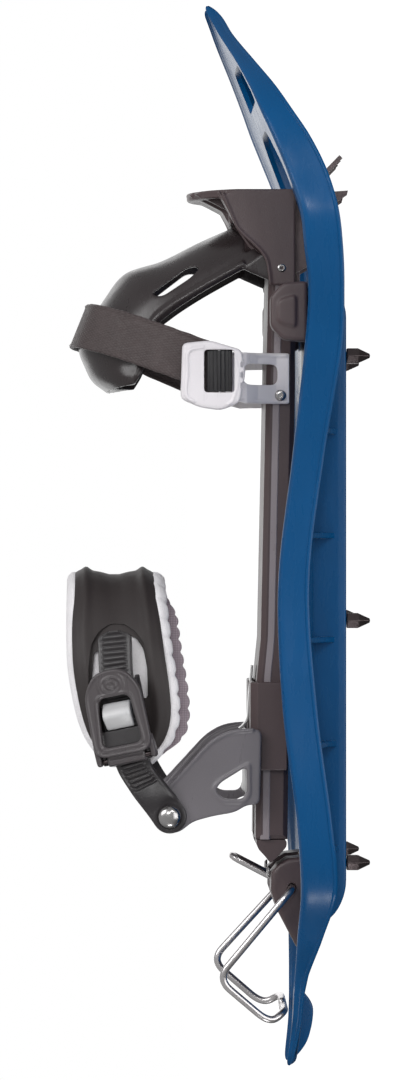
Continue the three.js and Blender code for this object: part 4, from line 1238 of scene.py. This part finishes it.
def ratchet_base():
    """Two walls with holes for the lever's pin, a floor under the strap, and a bridge and a roof over it."""
    side = [(0, -18), (5, -22.8), (8.6, -22.8), (9.4, -14), (5, 20), (0, 22)]
    parts = [slab("wall", "z", side, z, z + 2.6, radius=1, edge=0.6) for z in (-13.4, 10.8)]
    parts.append(slab("floor", "z", [(0, -22), (2, -22), (2.2, 4), (0, 8)], -13, 13, edge=0.3))
    parts.append(slab("bridge", "z", [(7.4, -14), (9, -14), (8, -5), (6.6, -5)], -13, 13, edge=0.4))
    parts.append(slab("roof", "z", [(7.2, 13), (6.4, 19), (5.4, 19), (5.4, 13)], -13, 13, edge=0.3))
    hole = turned("hole", "z", [(1.8, -20), (1.8, 20)], (*LEVER_PIN, 0))
    return in_place(moulded("base", parts, [hole], voxel=0.4, rounds=2, keep=0.5), "ratchet_base_moulding")


THUMB_Y = 18.6
LEVER_WINDOW = [(12.6, 8.6), (12.6, -8.6), (-13.6, -11), (-13.6, 11)]


def lever_frame():
    """A window frame with raised rims round its outer and inner edges."""
    near = [(-14, -16), (-18.5, -13.4), (-18.5, 13.4), (-14, 16)]
    plate = [(25.6, 9), (27.4, 0), (25.6, -9), (16, -15.4), *near, (16, 15.4)]
    outer, inner = rounded(plate, 5), rounded(LEVER_WINDOW, 4)
    hem = [(13.0, y * 0.955, z * 0.94) for y, z in (*outer, outer[0])]
    rim = [(13.1, y * 1.1, z * 1.12) for y, z in (*inner, inner[0])]
    return [
        slab("ring", "x", plate, 9.6, 13.2, radius=5, edge=1.4),
        wire("hem", even(hem, 120), 0.9, 8), wire("rim", even(rim, 100), 0.8, 8),
    ]


def lever_hinge():
    """Two ears, a ridged barrel between them, and two folds above it."""
    ear = [(4.8, -22.6), (10.4, -22.9), (12.2, -12), (9.8, -9), (4.8, -16)]
    parts = [slab("ear", "z", ear, z, z + 2.8, radius=3, edge=0.9) for z in (-16.4, 13.6)]
    barrel = [(0, -10.4), (2.7, -10.4), (3.1, -10), (3.1, 10), (2.7, 10.4), (0, 10.4)]
    parts.append(turned("barrel", "z", barrel, (*LEVER_PIN, 0)))
    x, y = LEVER_PIN
    ridges = [(x + 3 * math.cos(turn), y - 3 * math.sin(turn)) for turn in (-0.5, 0.1, 0.7)]
    folds = [(13.1, -15.6), (12.6, -17.5)]
    for lines, half, radius in ((ridges, 9.6, 0.55), (folds, 11.5, 0.7)):
        for x, y in lines:
            parts.append(wire("ridge", [(x, y, z) for z in np.linspace(-half, half, 12)], radius, 8))
    return parts


def thumb_pad():
    """A round pad with two plain rings."""
    pad = [(0, 10), (8, 10), (8, 13.1), (7.2, 13.7), (5, 13.3), (0, 13.1)]
    parts = [turned("pad", "x", pad, (0, THUMB_Y, 0))]
    for radius in (2.4, 5.2):
        turns = np.linspace(0, 2 * math.pi, 49)
        line = [(13.3, THUMB_Y + radius * 0.8 * math.cos(a), radius * math.sin(a)) for a in turns]
        parts.append(wire("grip", line, 0.7, 8))
    return parts


def ratchet_lever():
    opening = slab("opening", "x", LEVER_WINDOW, 8, 20, radius=4, edge=0.1)
    parts = [*lever_frame(), *lever_hinge(), *thumb_pad()]
    lever = moulded("lever", parts, [opening], voxel=0.36, rounds=1, keep=0.5)
    return in_place(lever, "ratchet_lever_moulding")


def ratchet_pawl():
    """A wedge that bites into the strap's ribs."""
    side = [(7.8, -4.6), (9, -4.6), (14.4, 2), (13.2, 5.4), (7.4, 10), (7.2, 3)]
    return in_place(slab("pawl", "z", side, -7.6, 7.6, radius=1.4, edge=0.9), "ratchet_pawl_moulding")


def lever_pin():
    profile = [(0, -16.2), (1.3, -16.2), (1.5, -15.9), (1.5, 15.9), (1.3, 16.2), (0, 16.2)]
    return in_place(turned("pin", "z", profile, (*LEVER_PIN, 0), 24), "ratchet_lever_pin_rod")


# ---------------------------------------------------------------- camera, floor and light
CAMERA = {"elevation": math.radians(1.1), "distance": 2.6, "target": (0, -0.0024, 0.0863)}
LENS, SENSOR = 160.3, 36


def camera():
    back = Vector((math.cos(CAMERA["elevation"]), 0, math.sin(CAMERA["elevation"])))
    up = Vector((0, 1, 0))
    right = up.cross(back)
    cam = link("camera", bpy.data.cameras.new("camera"))
    cam.data.sensor_width, cam.data.lens = SENSOR, LENS
    cam.data.clip_start, cam.data.clip_end = 0.05, 100
    cam.location = Vector(CAMERA["target"]) + back * CAMERA["distance"]
    cam.rotation_mode = "QUATERNION"
    cam.rotation_quaternion = Matrix([[right[i], up[i], back[i]] for i in range(3)]).to_quaternion()
    bpy.context.scene.camera = cam


def area_light(name, place, aim, size, power):
    lamp = bpy.data.lights.new(name, "AREA")
    lamp.shape = "RECTANGLE"
    lamp.size, lamp.size_y = size
    lamp.energy = power
    obj = link(name, lamp)
    obj.location = place
    obj.rotation_euler = (Vector(aim) - Vector(place)).to_track_quat("-Z", "Y").to_euler()
    obj.visible_camera = False


FLOOR_HALF, FLOOR_LOW, FLOOR_GLOW = 6e3, -0.4, 1.03


def floor():
    """A pale floor that stays bright, so that it meets the background without a horizon."""
    corners = [(x, y, FLOOR_LOW) for x, y in rectangle(-FLOOR_HALF, -FLOOR_HALF, FLOOR_HALF, FLOOR_HALF)]
    plane = mesh_object("floor", corners, [(0, 1, 2, 3)])
    glow = {"Emission Color": (1, 1, 1, 1), "Emission Strength": FLOOR_GLOW}
    paint = Paint("floor_paint", (0.06, 0.06, 0.06), {"Specular IOR Level": 0.0, **glow})
    matt = paint.spread(paint.noise(400), 0.85, 0.95)
    plane.data.materials.append(paint.finish(paint.tinted(900, 0.02, 0.1), matt))
    plane.visible_diffuse = plane.visible_glossy = plane.visible_shadow = False


WORLD_BRIGHT, WORLD_DARK, WORLD_SLOPE = 0.45, 0.14, (0.45, 0.25, 0.86)


def studio():
    """White where the camera looks past the object, and a soft gradient for light and reflections."""
    world = bpy.data.worlds.new("studio")
    world.use_nodes = True
    bpy.context.scene.world = world
    tree = world.node_tree
    place = add_node(tree, "ShaderNodeTexCoord").outputs["Generated"]
    slope = add_node(tree, "ShaderNodeVectorMath", {0: place, 1: WORLD_SLOPE}, operation="DOT_PRODUCT")
    ramp = {"From Min": -0.7, "From Max": 0.8, "To Min": WORLD_DARK, "To Max": WORLD_BRIGHT}
    ramp["Value"] = slope.outputs["Value"]
    soft = add_node(tree, "ShaderNodeMapRange", ramp, interpolation_type="SMOOTHSTEP").outputs["Result"]
    seen = add_node(tree, "ShaderNodeLightPath").outputs["Is Camera Ray"]
    bright = add_node(tree, "ShaderNodeMath", {0: seen, 1: soft}, operation="MAXIMUM").outputs[0]
    set_inputs(tree, tree.nodes["Background"], {"Strength": bright, "Color": (1, 1, 1, 1)})
    bpy.context.scene.view_settings.view_transform = "Standard"


# place, aim, width and height in metres, and watts
LIGHTS = {
    "key": ((1.3, 0.9, 1.5), (0, 0.05, 0.06), (0.9, 1.4), 18),
    "fill": ((1.5, 0.1, -1.3), (0, 0, 0.03), (1.2, 1.6), 14),
    "side_strip": ((1.9, 1.15, -0.55), (0.05, 0.1, 0.05), (0.25, 0.7), 5),
    "toe_glow": ((2.3, 0.75, 0.34), (0.1, 0.19, 0.035), (0.22, 0.3), 6),
    "tail_glow": ((0.9, -1.9, 0.02), (0.08, -0.19, 0.03), (0.5, 0.5), 6),
    "backdrop": ((-2.5, 0, 0.5), (0, 0, 0.1), (3.2, 2.4), 27),
}


# ---------------------------------------------------------------- assembly
SIDES = (1, -1)


def kept(name, paint, width):
    """A CAD node that is shown as it is, with round edges."""
    node = NODES[name]
    if not node.modifiers:
        soften(node, width, weld=True)
    node.data.materials.clear()
    node.data.materials.append(paint)


def build_frame():
    piece(deck(), DECK_BLUE, "frame", ["deck"])
    for side in SIDES:
        word = side_word(side)
        for row, y in zip(("front", "middle", "rear"), SPIKE_Y):
            obj = spike(side, y)
            obj.name = f"spike_{row}_{word}_stud"
            piece(obj, BLUED, "frame", [f"spike_{row}_{word}"])
        piece(pivot_housing(side), BROWN, "frame", [f"pivot_housing_{word}"])
        screw = recessed_screw(f"block_screw_{word}_head", "z", (side * 22, -180, 51.9), 3.4, 1.8)
        piece(screw, STEEL, "frame", [f"block_screw_{word}"])
    piece(heel_lift_bail(), CHROME, "heel_lift", ["heel_lift_bail"])
    kept("heel_lift_block", BROWN, 0.9)
    kept("pivot_axle", STEEL, 0.4)


def build_binding():
    piece(toe_yoke(), CHARCOAL, "binding", ["toe_yoke"])
    piece(toe_bumper(), BROWN, "binding", ["toe_bumper"])
    piece(toe_webbing(), WEBBING_CLOTH, "binding", ["toe_webbing"])
    piece(toe_buckle_frame(), WHITE, "binding", ["toe_buckle_frame"])
    piece(toe_buckle_cam(), RUBBER, "toe_cam", ["toe_buckle_cam"])
    for side in SIDES:
        word = side_word(side)
        piece(toe_link(side), WHITE, "binding", [f"toe_link_{word}"])
        kept(f"plate_end_cap_{word}", BROWN, 0.9)
        piece(plate_highlight_strip(side), HIGHLIGHT_BROWN, "binding")
        heads = {
            "yoke_screw": ("x", (side * (YOKE_FOOT[1] + 0.3), 142, 46.5), 2.6, 2.4, side),
            "link_rivet": ("x", (side * 42.3, 74.5, 47), 3, 1.8, side),
            "claw_rivet": ("z", (side * 16, 152, 35.9), 4, 2.3, -1),
        }
        for name, (axis, centre, radius, height, rise) in heads.items():
            head = recessed_screw(f"{name}_{word}_head", axis, centre, radius, height, rise)
            piece(head, STEEL, "binding", [f"{name}_{word}"])
    kept("sole_plate", BROWN, 1.0)
    kept("toe_claw", BLUED, 0.5)
    kept("cam_pin", STEEL, 0.2)


def build_heel_unit():
    piece(heel_cup(), ARM_GREY, "heel_unit", ["heel_cup"])
    piece(length_latch(), SPRING, "length_latch", ["length_latch"])
    for side in SIDES:
        piece(heel_rivet(side), STEEL, "heel_unit", [f"heel_rivet_{side_word(side)}"])
    kept("heel_carriage", BROWN, 0.8)


def build_ankle_strap():
    liner = piece(foam_liner(), FOAM, "ankle_strap", ["ankle_liner"])
    lining = piece(quilted_lining(), LINING, "ankle_strap", ["ankle_liner"])
    piece(ankle_shell(), SHELL_BLACK, "ankle_strap", ["ankle_shell"])
    ladder = moulded_strap("ladder_strap_ribbed", LADDER_PATH, 1, 0.3, 0.2)
    piece(ladder, BLACK, "ankle_strap", ["ladder_strap"])
    plain = moulded_strap("strap_left_moulding", PLAIN_PATH, -1, 0.6, 2)
    piece(plain, BLACK, "ankle_strap", ["strap_left"])
    piece(ratchet_base(), BLACK, "ankle_strap", ["ratchet_base"])
    piece(ratchet_lever(), LEVER_BLACK, "ratchet_lever", ["ratchet_lever"])
    piece(lever_pin(), BLUED, "ankle_strap", ["ratchet_lever_pin"])
    piece(ratchet_pawl(), PAWL_GREY, "ratchet_pawl", ["ratchet_pawl"])


camera()
floor()
studio()
for light, settings in LIGHTS.items():
    area_light(light, *settings)
build_frame()
build_binding()
build_heel_unit()
build_ankle_strap()
